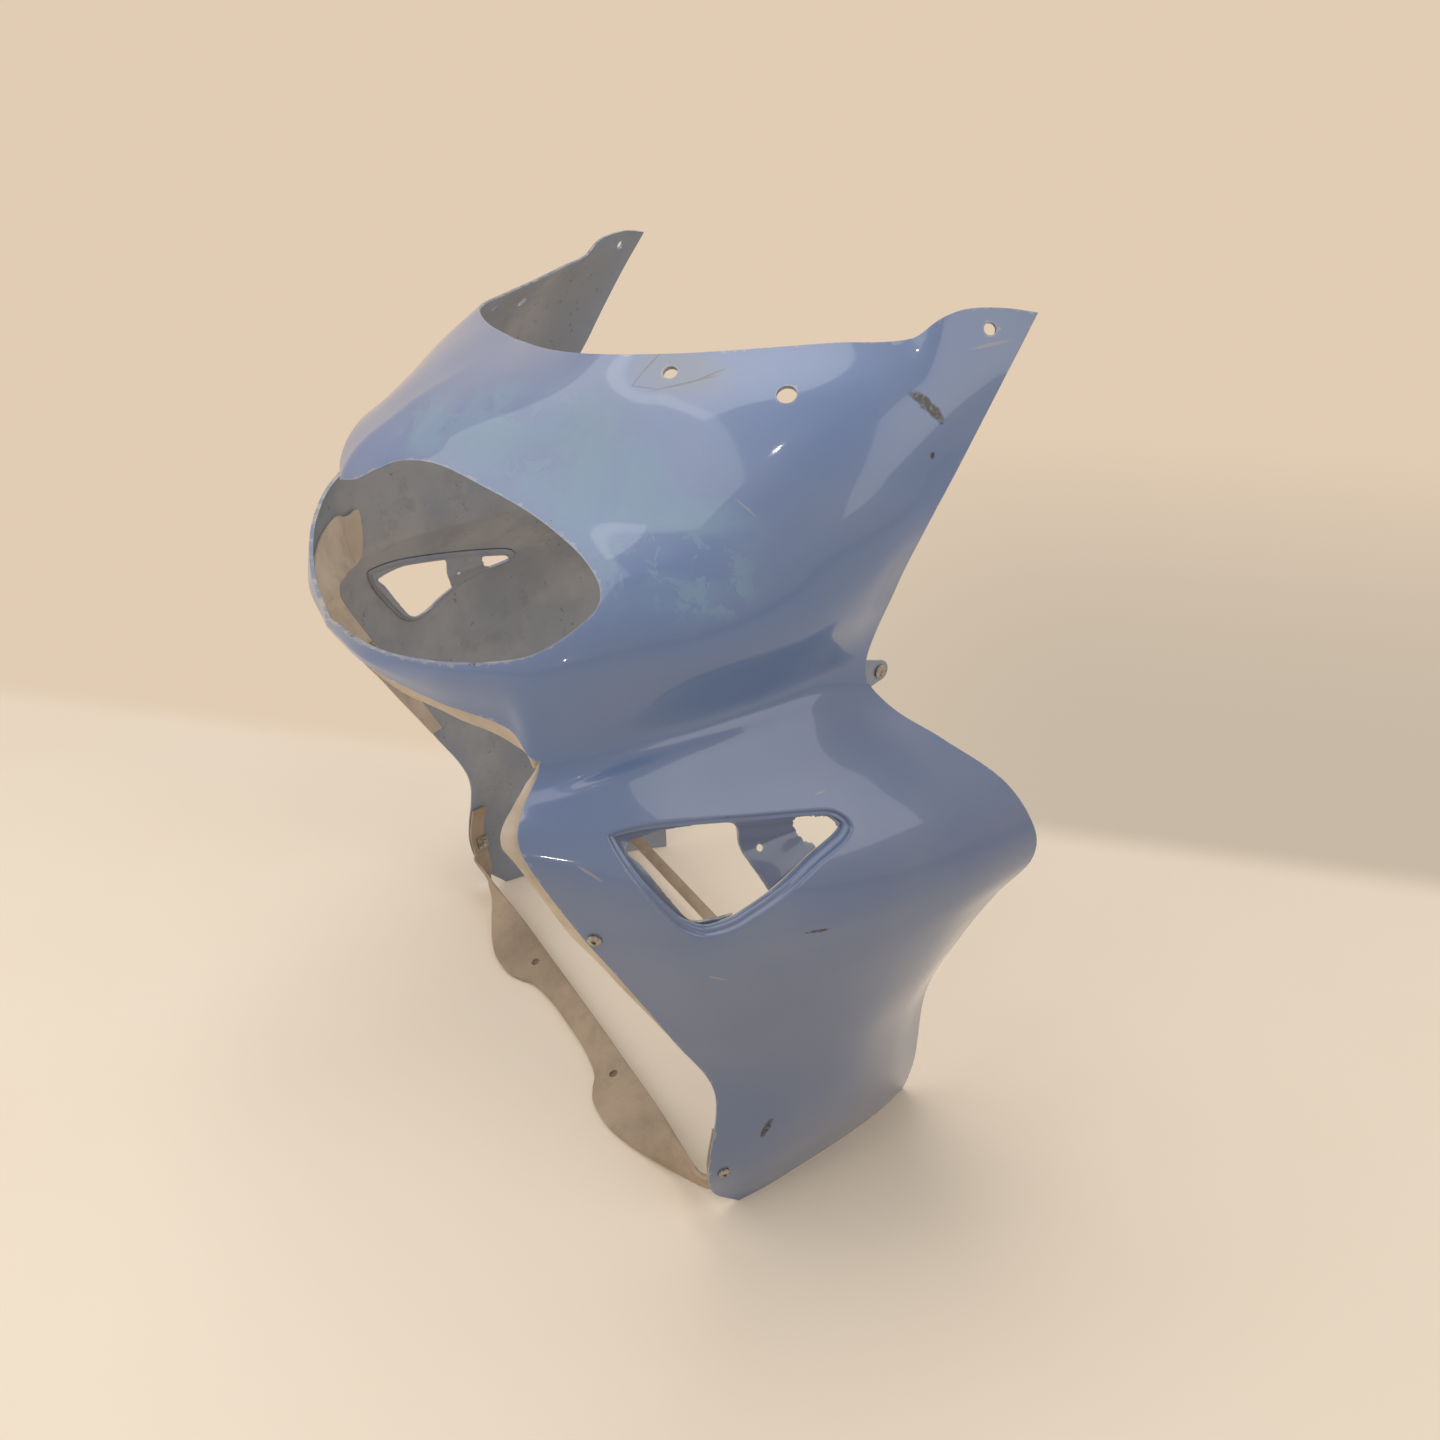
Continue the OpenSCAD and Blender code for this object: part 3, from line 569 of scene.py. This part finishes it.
def cut(ob, tool, op="DIFFERENCE"):
    """Boolean, applied. The tool is removed."""
    before = len(ob.data.polygons)
    done = None
    for solver in ("MANIFOLD", "EXACT"):
        md = ob.modifiers.new("cut", "BOOLEAN")
        md.operation = op
        md.object = tool
        md.solver = solver
        md.material_mode = "TRANSFER"
        dg = bpy.context.evaluated_depsgraph_get()
        me = bpy.data.meshes.new_from_object(ob.evaluated_get(dg), depsgraph=dg)
        ob.modifiers.remove(md)
        if len(me.polygons) > 8 and len(me.polygons) != before:
            done = me
            break
    if done is None:
        raise RuntimeError("cut had no effect on " + ob.name)
    old = ob.data
    done.name = old.name
    ob.data = done
    bpy.data.objects.remove(tool, do_unlink=True)
    return ob


def smooth(ob, angle=34.0):
    """Smooth shading, with the edges steeper than the angle kept sharp."""
    bm = bmesh.new()
    bm.from_mesh(ob.data)
    for f in bm.faces:
        f.smooth = True
    lim = math.radians(angle)
    for e in bm.edges:
        e.smooth = not (len(e.link_faces) == 2 and e.calc_face_angle(0.0) > lim)
    bm.to_mesh(ob.data)
    bm.free()


def tube(name, rings, mats, closed=False, idx=0):
    """A closed skin over rings of equal length."""
    R = [np.asarray(r, float) for r in rings]
    n, m = len(R), len(R[0])
    V = np.vstack(R)
    F = []
    for i in range(n if closed else n - 1):
        a, b = i * m, ((i + 1) % n) * m
        F += [[a + j, a + (j + 1) % m, b + (j + 1) % m, b + j] for j in range(m)]
    if not closed:
        F += [list(range(m - 1, -1, -1)), list(range((n - 1) * m, n * m))]
    ob = make(name, V, F, mats, [idx] * len(F))
    outward(ob)
    return ob


def edge_distance(ob, slot_index):
    """Stores each vertex's distance to the nearest face of an edge, in mm."""
    me = ob.data
    pts = set()
    for p in me.polygons:
        if p.material_index == slot_index:
            pts.update(p.vertices)
    kd = KDTree(max(len(pts), 1))
    for i, k in enumerate(pts):
        kd.insert(me.vertices[k].co, i)
    kd.balance()
    at_ = me.attributes.new("edge_mm", "FLOAT", "POINT")
    vals = np.zeros(len(me.vertices), np.float32)
    for i, v in enumerate(me.vertices):
        r = kd.find(v.co)
        vals[i] = min(r[2] * 1000, 60.0) if r[2] is not None else 60.0
    at_.data.foreach_set("value", vals)


def lines(knots, cell, ends=()):
    """Grid lines between knots, at most a cell apart, with extra lines at ends."""
    res = set()
    for a, b, length in knots:
        n = max(int(math.ceil(length / cell)), 1)
        res.update(np.round(np.linspace(a, b, n + 1), 6))
    res.update(np.round(ends, 6))
    return np.array(sorted(res))


def shell():
    ch = 0.8
    eu = 0.0016
    half = lines([(0, 0.45, 255), (0.45, 1.0, 330)], CELL, [FRONT_U + eu, 1 - eu])
    U = np.r_[-half[:0:-1], half]
    V = lines([(0, WAIST, 235), (WAIST, FOOT, 460)], CELL, [0.9, WAIST - 0.9, FOOT - 0.9])
    UU, VV = np.meshgrid(U, V)
    have = (np.abs(UU) >= FRONT_U - 1e-6) | (VV <= WAIST + 1e-6)
    index = np.full(UU.shape, -1)
    index[have] = np.arange(have.sum())
    u, v = UU[have], VV[have]
    n = len(u)
    edge = (v < 1e-6) | (np.abs(np.abs(u) - 1) < 1e-6) | (v > FOOT - 1e-6)
    edge |= (np.abs(v - WAIST) < 1e-6) & (np.abs(u) <= FRONT_U + 1e-6)
    edge |= (v > WAIST - 1e-6) & (np.abs(np.abs(u) - FRONT_U) < 1e-6)
    S, N = skin(u, v), out(u, v)
    outer = S - np.where(edge, ch, 0.0)[:, None] * N
    inner = S - np.where(edge, WALL - ch, WALL)[:, None] * N
    a = index[:-1, :-1]
    b = index[:-1, 1:]
    c = index[1:, 1:]
    d = index[1:, :-1]
    ok = (a >= 0) & (b >= 0) & (c >= 0) & (d >= 0)
    cells = np.stack([a[ok], b[ok], c[ok], d[ok]], 1)
    count = {}
    for q in cells:
        for i in range(4):
            e = (int(q[i]), int(q[(i + 1) % 4]))
            count[e] = count.get(e, 0) + 1
    rim = [e for e in count if (e[1], e[0]) not in count]
    F = [list(q[::-1]) for q in cells] + [list(q + n) for q in cells]
    F += [[e[0], e[1], e[1] + n, e[0] + n] for e in rim]
    idx = [0] * len(cells) + [1] * len(cells) + [2] * len(rim)
    uv = np.stack([np.r_[u, u], np.r_[v, v] / FOOT], 1)
    ob = make("cowl_moulding", np.vstack([outer, inner]), F, [PAINT, INNER, EDGE], idx, uv)
    bm = bmesh.new()
    bm.from_mesh(ob.data)
    if bm.calc_volume(signed=True) < 0:
        bmesh.ops.reverse_faces(bm, faces=bm.faces)
        bm.to_mesh(ob.data)
    bm.free()
    tools = []
    half_eye = hermite(np.arange(len(EYE)), EYE, np.linspace(0, len(EYE) - 1, 12 * len(EYE)))
    eye = np.vstack([half_eye, (half_eye * [-1, 1])[-2:0:-1]])
    tools.append(prism("eye_tool", even(eye, 2.5), "y", -276, -76, EDGE))
    vent = even(closed_curve(VENT, 8), 2.5)
    for s in (1, -1):
        lo, hi = sorted((220 * s, 380 * s))
        tools.append(prism("vent_tool", vent, "x", lo, hi, PAINT))
        for hu, hv, dia in SKIN_HOLES:
            p, q = at(hu, hv), out([hu], [hv])[0]
            flip = np.array([s, 1, 1])
            tools.append(rod("hole_tool", p * flip, q * flip, dia, 24, EDGE, 40))
    cut(ob, join("tools", tools))
    edge_distance(ob, 2)
    smooth(ob, 30)
    exact_normals(ob)
    return ob


def exact_normals(ob):
    """Shading normals of the skin itself, so that the cuts leave no dents."""
    me = ob.data
    layer = me.uv_layers.get("skin")
    if layer is None:
        return
    nl = len(me.loops)
    uv = np.empty(nl * 2, np.float32)
    layer.data.foreach_get("uv", uv)
    uv = uv.reshape(-1, 2).astype(float)
    vi = np.empty(nl, np.int32)
    me.loops.foreach_get("vertex_index", vi)
    co = np.empty(len(me.vertices) * 3, np.float32)
    me.vertices.foreach_get("co", co)
    co = co.reshape(-1, 3)[vi] * 1000.0
    mat = np.empty(len(me.polygons), np.int32)
    me.polygons.foreach_get("material_index", mat)
    tot = np.empty(len(me.polygons), np.int32)
    me.polygons.foreach_get("loop_total", tot)
    lm = np.repeat(mat, tot)
    u, v = np.clip(uv[:, 0], -1, 1), np.clip(uv[:, 1] * FOOT, 0, FOOT)
    nose = (np.abs(u) < FRONT_U - 1e-3) & (v > WAIST)
    v[nose] = WAIST
    N = out(u, v)
    P = skin(u, v)
    depth = np.einsum("ij,ij->i", P - co, N)
    near = np.linalg.norm(P - co - depth[:, None] * N, axis=1) < 0.6
    res = np.zeros((nl, 3), np.float32)
    a = (lm == 0) & near & (np.abs(depth) < 0.15)
    b = (lm == 1) & near & (np.abs(depth - WALL) < 0.15)
    res[a] = N[a]
    res[b] = -N[b]
    me.normals_split_custom_set(res.tolist())


def side_x(y, z):
    """Place on the left side skin whose y and z are given: (u, v, x)."""
    gu, gv = np.meshgrid(np.linspace(0.47, 0.95, 60), np.linspace(268, 430, 60))
    gu, gv = gu.ravel(), gv.ravel()
    G = skin(gu, gv)
    k = np.argmin((G[None, :, 1] - y[:, None]) ** 2 + (G[None, :, 2] - z[:, None]) ** 2, axis=1)
    u, v = gu[k], gv[k]
    for _ in range(5):
        p = skin(u, v)
        a = (skin(u + 0.002, v) - p) / 0.002
        b = (skin(u, v + 0.5) - p) / 0.5
        ry, rz = y - p[:, 1], z - p[:, 2]
        det = a[:, 1] * b[:, 2] - b[:, 1] * a[:, 2]
        u = np.clip(u + (ry * b[:, 2] - b[:, 1] * rz) / det, 0.455, 0.98)
        v = np.clip(v + (a[:, 1] * rz - ry * a[:, 2]) / det, 262, 440)
    return u, v, skin(u, v)[:, 0]


def mirrored(ob, name):
    me = ob.data.copy()
    me.name = name
    me.transform(Matrix.Scale(-1, 4, (1, 0, 0)))
    me.flip_normals()
    o = bpy.data.objects.new(name, me)
    bpy.context.scene.collection.objects.link(o)
    return o


def vents():
    line = even(closed_curve(VENT, 8), 2.5)
    step = [(0.04, 0.0), (0.5, 0.08), (1.1, 0.38), (1.7, 1.0), (2.1, 1.9), (2.3, 3.0),
            (2.6, 3.6), (3.2, 3.9), (4.2, 4.0), (4.8, 4.3), (5.2, 5.0), (5.5, 6.2), (5.7, 7.4),
            (5.8, 9.0), (3.4, 9.0), (2.2, 6.4), (0.04, 4.6)]
    rings = []
    for g, d in step:
        q = inset(line, g)
        u, v, x = side_x(q[:, 0], q[:, 1])
        n = out(u, v)
        n[:, 1:] *= 0.35
        rings.append(np.stack([x, q[:, 0], q[:, 1]], 1) - d * unit(n))
    rings = np.array(rings)
    lip = tube("vent_lip", [rings[:, i] for i in range(rings.shape[1])], [PAINT], closed=True)
    lip.data.materials.append(INNER)
    lip.data.polygons.foreach_set("material_index", [
        1 if i % len(step) >= 12 else 0 for i in range(len(lip.data.polygons))])
    smooth(lip, 60)
    # Pan between the openings: a sheet that dips inward, trimmed to the lip
    y = np.arange(-110, 68, 2.0) - MID
    z = np.arange(316, 410, 2.0)
    Y, Z = np.meshgrid(y, z)
    yy, zz = Y.ravel(), Z.ravel()
    u, v, x = side_x(yy, zz)
    ins = inset(line, 5.0)
    dist = np.sqrt(np.min((yy[:, None] - ins[None, :, 0]) ** 2
                          + (zz[:, None] - ins[None, :, 1]) ** 2, axis=1))
    dip = 6.9 + 9.0 * (1 - np.exp(-(dist / 13.0) ** 2)) + 0.05 * np.maximum(392 - zz, 0)
    front = np.stack([x - dip, yy, zz], 1)
    back = np.stack([x - dip - 2.4, yy, zz], 1)
    ny, nz = len(y), len(z)
    I = np.arange(ny * nz).reshape(nz, ny)
    q = np.stack([I[:-1, :-1], I[:-1, 1:], I[1:, 1:], I[1:, :-1]], -1).reshape(-1, 4)
    F = [list(r) for r in q] + [list(r[::-1] + ny * nz) for r in q]
    loop = list(I[0, :]) + list(I[1:, -1]) + list(I[-1, -2::-1]) + list(I[-2:0:-1, 0])
    for i in range(len(loop)):
        a, b = loop[i], loop[(i + 1) % len(loop)]
        F.append([b, a, a + ny * nz, b + ny * nz])
    pan = make("vent_pan", np.vstack([front, back]), F, [SHADED_PAN, INNER],
               [0] * len(q) + [1] * len(q) + [0] * (len(F) - 2 * len(q)))
    outward(pan)
    cut(pan, prism("trim", even(inset(line, 5.3), 2.0), "x", 180, 380, SHADED_PAN), "INTERSECT")
    main = even(closed_curve(VENT_MAIN, 8), 2.0)
    main = main + rng.normal(0, 0.12, main.shape)
    rear = even(closed_curve(VENT_REAR, 8), 1.1)
    rear = rear + rng.normal(0, 0.42, rear.shape)
    tools = [prism("main", main, "x", 180, 380, EDGE), prism("rear", rear, "x", 180, 380, EDGE),
             rod("hole", at(*PAN_HOLE, 8.5), out([PAN_HOLE[0]], [PAN_HOLE[1]])[0],
                 PAN_HOLE_D, 30, EDGE, 32)]
    cut(pan, join("vent_tools", tools))
    smooth(pan, 40)
    both = join("vent_left", [lip, pan])
    edge_distance(both, len(both.data.materials) - 1)
    return [both, mirrored(both, "vent_right")]


def liner_places():
    """[inner, middle, edge] places, reach and depth, as the CAD source has them."""
    st = []
    for j in range(4, 18):
        u = j / 40
        st.append([u, 218, u, 226, u, WAIST,
                   20 * min(1, (u - 0.04) / 0.16, 0.4 + (0.45 - u) / 0.12), 0])
    st += [[0.45, 218, 0.444, 226, 0.4375, 235, 9, 0.8],
           [0.475, 218, 0.4625, 226, 0.45, 235.5, 7, 1.2],
           [0.475, 235, 0.4625, 238, 0.45, 241, 5.4, 1.2]]
    for v in (248, 262, 278, 300, 322, 345, 362, 378, 394, 410, 422, 435, 462, 490):
        st.append([0.475, v, 0.4625, v, 0.45, v,
                   12 * min(1, 0.3 + (v - 235) / 60, 1 - 0.75 * (v - 400) / 95),
                   0.8 if v < 270 else 0])
    return np.array(st, float)


def liners():
    st = liner_places()
    t = np.arange(len(st), dtype=float)
    s = hermite(t, st, np.linspace(0, t[-1], int(t[-1] * (8)) + 1))
    s[:, [1, 3, 5]] = np.clip(s[:, [1, 3, 5]], 0, FOOT)
    nose = (s[:, 4] < 0.45 - 1e-4)
    s[nose, 5] = np.minimum(s[nose, 5], WAIST)
    for k in (0, 2):
        s[s[:, k] < 0.45, k + 1] = np.minimum(s[s[:, k] < 0.45, k + 1], WAIST)
    d = WALL + 0.5 + s[:, 7]
    a = under(s[:, 0], s[:, 1], d)
    b = under(s[:, 2], s[:, 3], d)
    e = under(s[:, 4], s[:, 5], d)
    n = out(s[:, 4], s[:, 5])
    na, nb = out(s[:, 0], s[:, 1]), out(s[:, 2], s[:, 3])
    dirn = unit(e - b)
    for _ in range(3):
        dirn[1:-1] = unit(dirn[:-2] + dirn[1:-1] * 2 + dirn[2:])
        n[1:-1] = unit(n[:-2] + n[1:-1] * 2 + n[2:])
    reach = s[:, 6:7]
    wave = 0.35 * np.sin(np.arange(len(s)) * 0.23)[:, None]
    t1 = e + 0.5 * reach * dirn - 0.06 * reach * n
    t2 = e + (reach + wave) * dirn - 0.25 * reach * n
    lip = unit(t2 - t1)
    T = 2.0
    rings = np.stack([a, b, e, t1, t2 - 0.5 * lip - 0.1 * n, t2 - 0.35 * n, t2 - 1.0 * n,
                      t2 - 1.6 * n, t2 - 0.5 * lip - (T - 0.1) * n, t1 - T * n, e - T * n,
                      b - T * nb, a - T * na], 1)
    left = tube("liner_strip_left", list(rings), [LINER])
    p, q = at(*EDGE_SCREW), out([EDGE_SCREW[0]], [EDGE_SCREW[1]])[0]
    cut(left, rod("hole", p, q, SCREW_HOLE, 24, LINER, 32))
    smooth(left, 45)
    return [left, mirrored(left, "liner_strip_right")]


def chin():
    rail = [[[0, -37, 3], [0, -17, 18]], [[40, -38, 3], [40, -17, 18]],
            [[72, -43, 3], [74, -17, 18]], [[88, -52, 3], [95, -17, 18]],
            [[105, -59, 3], [115, -17, 18]], [[135, -60, 3], [140, -18, 20]],
            [[165, -53, 3], [165, -20, 23]], [[197, -41, 4], [192, -25, 28]],
            [[230, -27, 6], [216, -29, 32]], [[252, -22, 16], [240, -33, 38]],
            [[262, -16, 30], [255, -36, 44]]]
    side = np.array([[*(s[0] - [0, MID, 0]), *(s[1] - [0, MID, 0])] for s in np.array(rail)]
                    + [[*at(0.5, v, 3.7), *at(0.45, v, 3.7)] for v in (652, 628, 598)])
    both = np.vstack([(side * [-1, 1, 1, -1, 1, 1])[:0:-1], side])
    t = np.arange(len(both), dtype=float)
    s = hermite(t, both, np.linspace(0, t[-1], int(t[-1] * 8) + 1))
    f, b = s[:, :3], s[:, 3:]
    go = np.gradient(f + b, axis=0)
    n = unit(np.cross(go, b - f))
    for _ in range(4):
        n[1:-1] = unit(n[:-2] + 2 * n[1:-1] + n[2:])
    w = unit(b - f)
    crown = (np.where(np.abs(f[:, :1]) < 240, 2.4, 0.0)
             * np.clip((262 - np.abs(f[:, :1])) / 30, 0, 1))
    T = 3.0
    rows = []
    for k, up in ((0.0, 0.0), (0.04, 0.25), (0.14, 0.62), (0.3, 0.9), (0.5, 1.0), (0.7, 0.85),
                  (0.86, 0.55), (0.96, 0.2), (1.0, 0.0)):
        rows.append(f + (b - f) * k + n * crown * up)
    top = list(rows)
    low = [r - T * n for r in rows[::-1]]
    low[0] = low[0] - 0.25 * w
    low[-1] = low[-1] + 0.25 * w
    rings = np.stack([top[0] - 0.5 * n] + top[1:-1] + [top[-1] - 0.5 * n] + low, 1)
    rings[:, :, 2] = np.maximum(rings[:, :, 2], 0.3)
    ob = tube("chin_rail", list(rings), [BARE])
    tools = []
    for sgn in (1, -1):
        tools.append(rod("hole", (CHIN_HOLE[0] * sgn, CHIN_HOLE[1], 10), (0, 0, 1),
                         CHIN_HOLE_D, 60, BARE, 32))
        p, q = at(*SEAM_SCREW), out([SEAM_SCREW[0]], [SEAM_SCREW[1]])[0]
        tools.append(rod("hole", p * [sgn, 1, 1], q * [sgn, 1, 1], SCREW_HOLE, 24, BARE, 32))
    cut(ob, join("chin_tools", tools))
    smooth(ob, 40)
    return ob


def tab(name, place, w, l, hole):
    """Lug behind the rear edge: a plate with a rounded end and a hole."""
    u, v = place
    n = out([u], [v])[0]
    p = at(u, v, WALL + 1.5)
    x = Matrix.Rotation(math.atan2(n[1], n[0]), 4, "Z") @ Matrix.Rotation(math.acos(n[2]), 4, "Y")
    r = w / 3
    arc = [(r * math.cos(a), l - r + r * math.sin(a)) for a in np.linspace(0, math.pi, 24)]
    poly = [(-w / 2, -12), (w / 2, -12), (w / 2, 0)] + arc + [(-w / 2, 0)]
    ob = prism(name, poly, "z", 0, 3, PAINT)
    cut(ob, rod("hole", (0, l - r, 1.5), (0, 0, 1), hole, 12, EDGE, 32))
    bm = bmesh.new()
    bm.from_mesh(ob.data)
    es = [e for e in bm.edges if len(e.link_faces) == 2 and e.calc_face_angle(0) > 0.9]
    bmesh.ops.bevel(bm, geom=es, offset=0.0006, segments=2, affect="EDGES", profile=0.6)
    bm.transform(Matrix.Translation(Vector(p / 1000)) @ x)
    bm.to_mesh(ob.data)
    bm.free()
    smooth(ob, 35)
    return ob


def socket(name):
    """Socket of the rear brace on the inner face, with a stepped mouth."""
    ys = [(236, 6.7), (236, 9.2), (236.5, 10.2), (237.5, 10.5), (249.6, 10.5), (249.6, 6.7)]
    n = 48
    a = np.linspace(0, 2 * math.pi, n, endpoint=False)
    rings = [np.stack([np.full(n, x), BRACE_Y + r * np.cos(a), BRACE_Z + r * np.sin(a)], 1)
             for x, r in ys]
    ob = tube(name, [np.array([r[i] for r in rings]) for i in range(n)], [INNER], closed=True)
    smooth(ob, 35)
    return ob


def brace():
    """Rear brace: a worn bar whose ends sit in the two sockets."""
    L = 248.0
    xs = np.r_[-L, -L + 0.6, np.arange(-L + 3, L - 2, 3.0), L - 0.6, L]
    n = 40
    a = np.linspace(0, 2 * math.pi, n, endpoint=False)
    rings = []
    for x in xs:
        r = 5.9 if abs(x) > L - 0.1 else 6.45
        r = r - 0.10 - 0.10 * math.sin(x * 0.11) * math.sin(x * 0.037)
        rings.append(np.stack([np.full(n, x), BRACE_Y + r * np.cos(a), BRACE_Z + r * np.sin(a)], 1))
    ob = tube("brace_bar", rings, [BARE])
    smooth(ob, 40)
    return ob


moulding = shell()
vent_pieces = vents()
tabs = []
for place, w, l, hole, name in (((1, 240), 24, 22, 5.5, "waist_lug"),
                                ((1, 522), 30, 24, 6.5, "foot_lug")):
    left = tab(name + "_left", place, w, l, hole)
    tabs += [left, mirrored(left, name + "_right")]
sock = socket("brace_socket_left")
socks = [sock, mirrored(sock, "brace_socket_right")]
shell_pieces = [moulding] + vent_pieces + tabs + socks
liner_pieces = liners()
chin_piece = chin()
bar = brace()
for p in shell_pieces:
    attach(p, "root")
    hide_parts("fairing_shell")
for p, node in zip(liner_pieces, ("liner_left", "liner_right")):
    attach(p, "root")
    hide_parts(node)
for p, node in ((chin_piece, "chin_crosspiece"), (bar, "rear_brace")):
    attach(p, "root")
    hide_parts(node)
for node in ("edge_screws", "seam_screws", "edge_clip_nuts", "seam_clip_nuts", "side_studs"):
    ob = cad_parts[node]
    for s in ob.material_slots:
        s.material = STEEL
    if not ob.material_slots:
        ob.data.materials.append(STEEL)

# Stage

CAM = Vector((0.850, -0.377, 0.817))
FWD = Vector((-0.7623, 0.4457, -0.4693)).normalized()
UP = Vector((-0.4040, 0.2389, 0.8830))
RIGHT = FWD.cross(UP).normalized()
UP = RIGHT.cross(FWD).normalized()
cam_data = bpy.data.cameras.new("camera")
cam_data.lens = 30.0
cam_data.sensor_width = 36.0
cam_data.clip_start = 0.01
cam_data.clip_end = 50.0
cam = bpy.data.objects.new("camera", cam_data)
bpy.context.scene.collection.objects.link(cam)
m = Matrix((RIGHT, UP, -FWD)).transposed().to_4x4()
m.translation = CAM
cam.matrix_world = m
bpy.context.scene.camera = cam


def ground(px, py):
    """Where a pixel of the 1440 frame meets the floor."""
    d = FWD + RIGHT * ((px - 720) / 1200.0) - UP * ((py - 720) / 1200.0)
    return CAM + d * (-CAM.z / d.z)


def shown(tree):
    """1 for the rays that see the background: camera, mirror and glass rays."""
    path = tree.nodes.new("ShaderNodeLightPath")
    r = path.outputs["Is Camera Ray"]
    for name in ("Is Glossy Ray", "Is Transmission Ray"):
        n = tree.nodes.new("ShaderNodeMath")
        n.operation = "MAXIMUM"
        tree.links.new(r, n.inputs[0])
        tree.links.new(path.outputs[name], n.inputs[1])
        r = n.outputs[0]
    return r


BACK = lin(0.885, 0.800, 0.706)
BACK_END = lin(0.780, 0.725, 0.650)
line_a, line_b = ground(315, 735), ground(1125, 845)
along_line = (line_b - line_a).normalized()
behind = Vector((-along_line.y, along_line.x, 0))
if behind.dot(FWD) < 0:
    behind = -behind


def stage_material():
    """Pale floor, with a plain toned ground behind the line seen in the photograph."""
    m = Nodes("stage_mat")
    m.put(m.b, "Base Color", m.mix(m.ramp(m.noise(1.3, 4.0), 0.3, 0.7),
                                   lin(0.955, 0.895, 0.815), lin(0.970, 0.915, 0.840)))
    m.put(m.b, "Roughness", m.ramp(m.noise(5.0, 3.0), 0.3, 0.7, 0.62, 0.74))
    m.b.inputs["Specular IOR Level"].default_value = 0.25

    def dot(v):
        n = m.t.nodes.new("ShaderNodeVectorMath")
        n.operation = "DOT_PRODUCT"
        m.link(m.p, n.inputs[0])
        n.inputs[1].default_value = v
        return n.outputs["Value"]

    far = m.math("SUBTRACT", dot(behind), line_a.dot(behind))
    side = m.math("SUBTRACT", dot(along_line), line_a.dot(along_line))
    # Painted shade: the ground seen behind the line glows darker towards the right, near the line
    tone = m.mix(m.math("MULTIPLY", m.ramp(side, 0.1, 1.1), m.ramp(far, 0.2, 2.2, 1.0, 0.0)),
                 BACK, BACK_END)
    glow = m.t.nodes.new("ShaderNodeEmission")
    m.link(tone, glow.inputs["Color"])
    mix = m.t.nodes.new("ShaderNodeMixShader")
    m.link(m.math("MULTIPLY", m.ramp(far, -0.03, 0.04), shown(m.t)), mix.inputs["Fac"])
    m.link(m.b.outputs[0], mix.inputs[1])
    m.link(glow.outputs[0], mix.inputs[2])
    out = [n for n in m.t.nodes if n.type == "OUTPUT_MATERIAL"][0]
    m.link(mix.outputs[0], out.inputs["Surface"])
    return m.mat


def floor():
    """Round floor, wide enough for a camera on any side."""
    n = 96
    verts, faces = [(0.0, 0.0, -0.0004)], []
    for r in (1.5, 6.0):
        verts += [(r * math.cos(t), r * math.sin(t), -0.0004)
                  for t in np.linspace(0, 2 * math.pi, n, endpoint=False)]
    for i in range(n):
        k = (i + 1) % n
        faces.append((0, 1 + i, 1 + k))
        faces.append((1 + i, 1 + n + i, 1 + n + k, 1 + k))
    me = bpy.data.meshes.new("floor")
    me.from_pydata(verts, [], faces)
    me.materials.append(stage_material())
    ob = bpy.data.objects.new("floor", me)
    bpy.context.scene.collection.objects.link(ob)
    return ob


floor()


def area(name, place, aim, size, power, colour=(1, 1, 1), shape="SQUARE"):
    l = bpy.data.lights.new(name, "AREA")
    l.shape = shape
    l.size = size
    l.energy = power
    l.color = colour
    o = bpy.data.objects.new(name, l)
    bpy.context.scene.collection.objects.link(o)
    o.location = place
    o.rotation_euler = (Vector(aim) - Vector(place)).to_track_quat("-Z", "Y").to_euler()
    return o


world = bpy.data.worlds.new("world")
bpy.context.scene.world = world
world.use_nodes = True
bg = world.node_tree.nodes["Background"]
bg.inputs["Color"].default_value = (1.0, 0.97, 0.935, 1.0)
bg.inputs["Strength"].default_value = 0.46
nt = world.node_tree
seen = nt.nodes.new("ShaderNodeBackground")
seen.inputs["Color"].default_value = BACK
mix = nt.nodes.new("ShaderNodeMixShader")
nt.links.new(shown(nt), mix.inputs["Fac"])
nt.links.new(bg.outputs[0], mix.inputs[1])
nt.links.new(seen.outputs[0], mix.inputs[2])
nt.links.new(mix.outputs[0], nt.nodes["World Output"].inputs["Surface"])
area("key", (-0.3, -1.8, 2.3), (0.0, 0.0, 0.3), 2.6, 26.5, (1.0, 0.975, 0.945))
area("fill", (1.9, 0.9, 1.7), (0.1, 0.0, 0.3), 1.6, 10.0, (1.0, 0.975, 0.945))
area("top", (-0.5, 0.1, 2.6), (0.0, 0.0, 0.3), 1.6, 16.5, (1.0, 0.975, 0.945))
# Two small lamps, seen as bright points on the side panel
for i, (p, r) in enumerate((((238, -119, 429), (0.25, -0.19, 0.95)),
                            ((259, -151, 387), (0.75, -0.65, 0.12)))):
    place = Vector(p) / 1000 + Vector(r).normalized() * 1.6
    area("lamp_%d" % i, place, Vector(p) / 1000, 0.02, 0.22, (1.0, 0.95, 0.88), "DISK")

bpy.context.scene.view_settings.view_transform = "Standard"
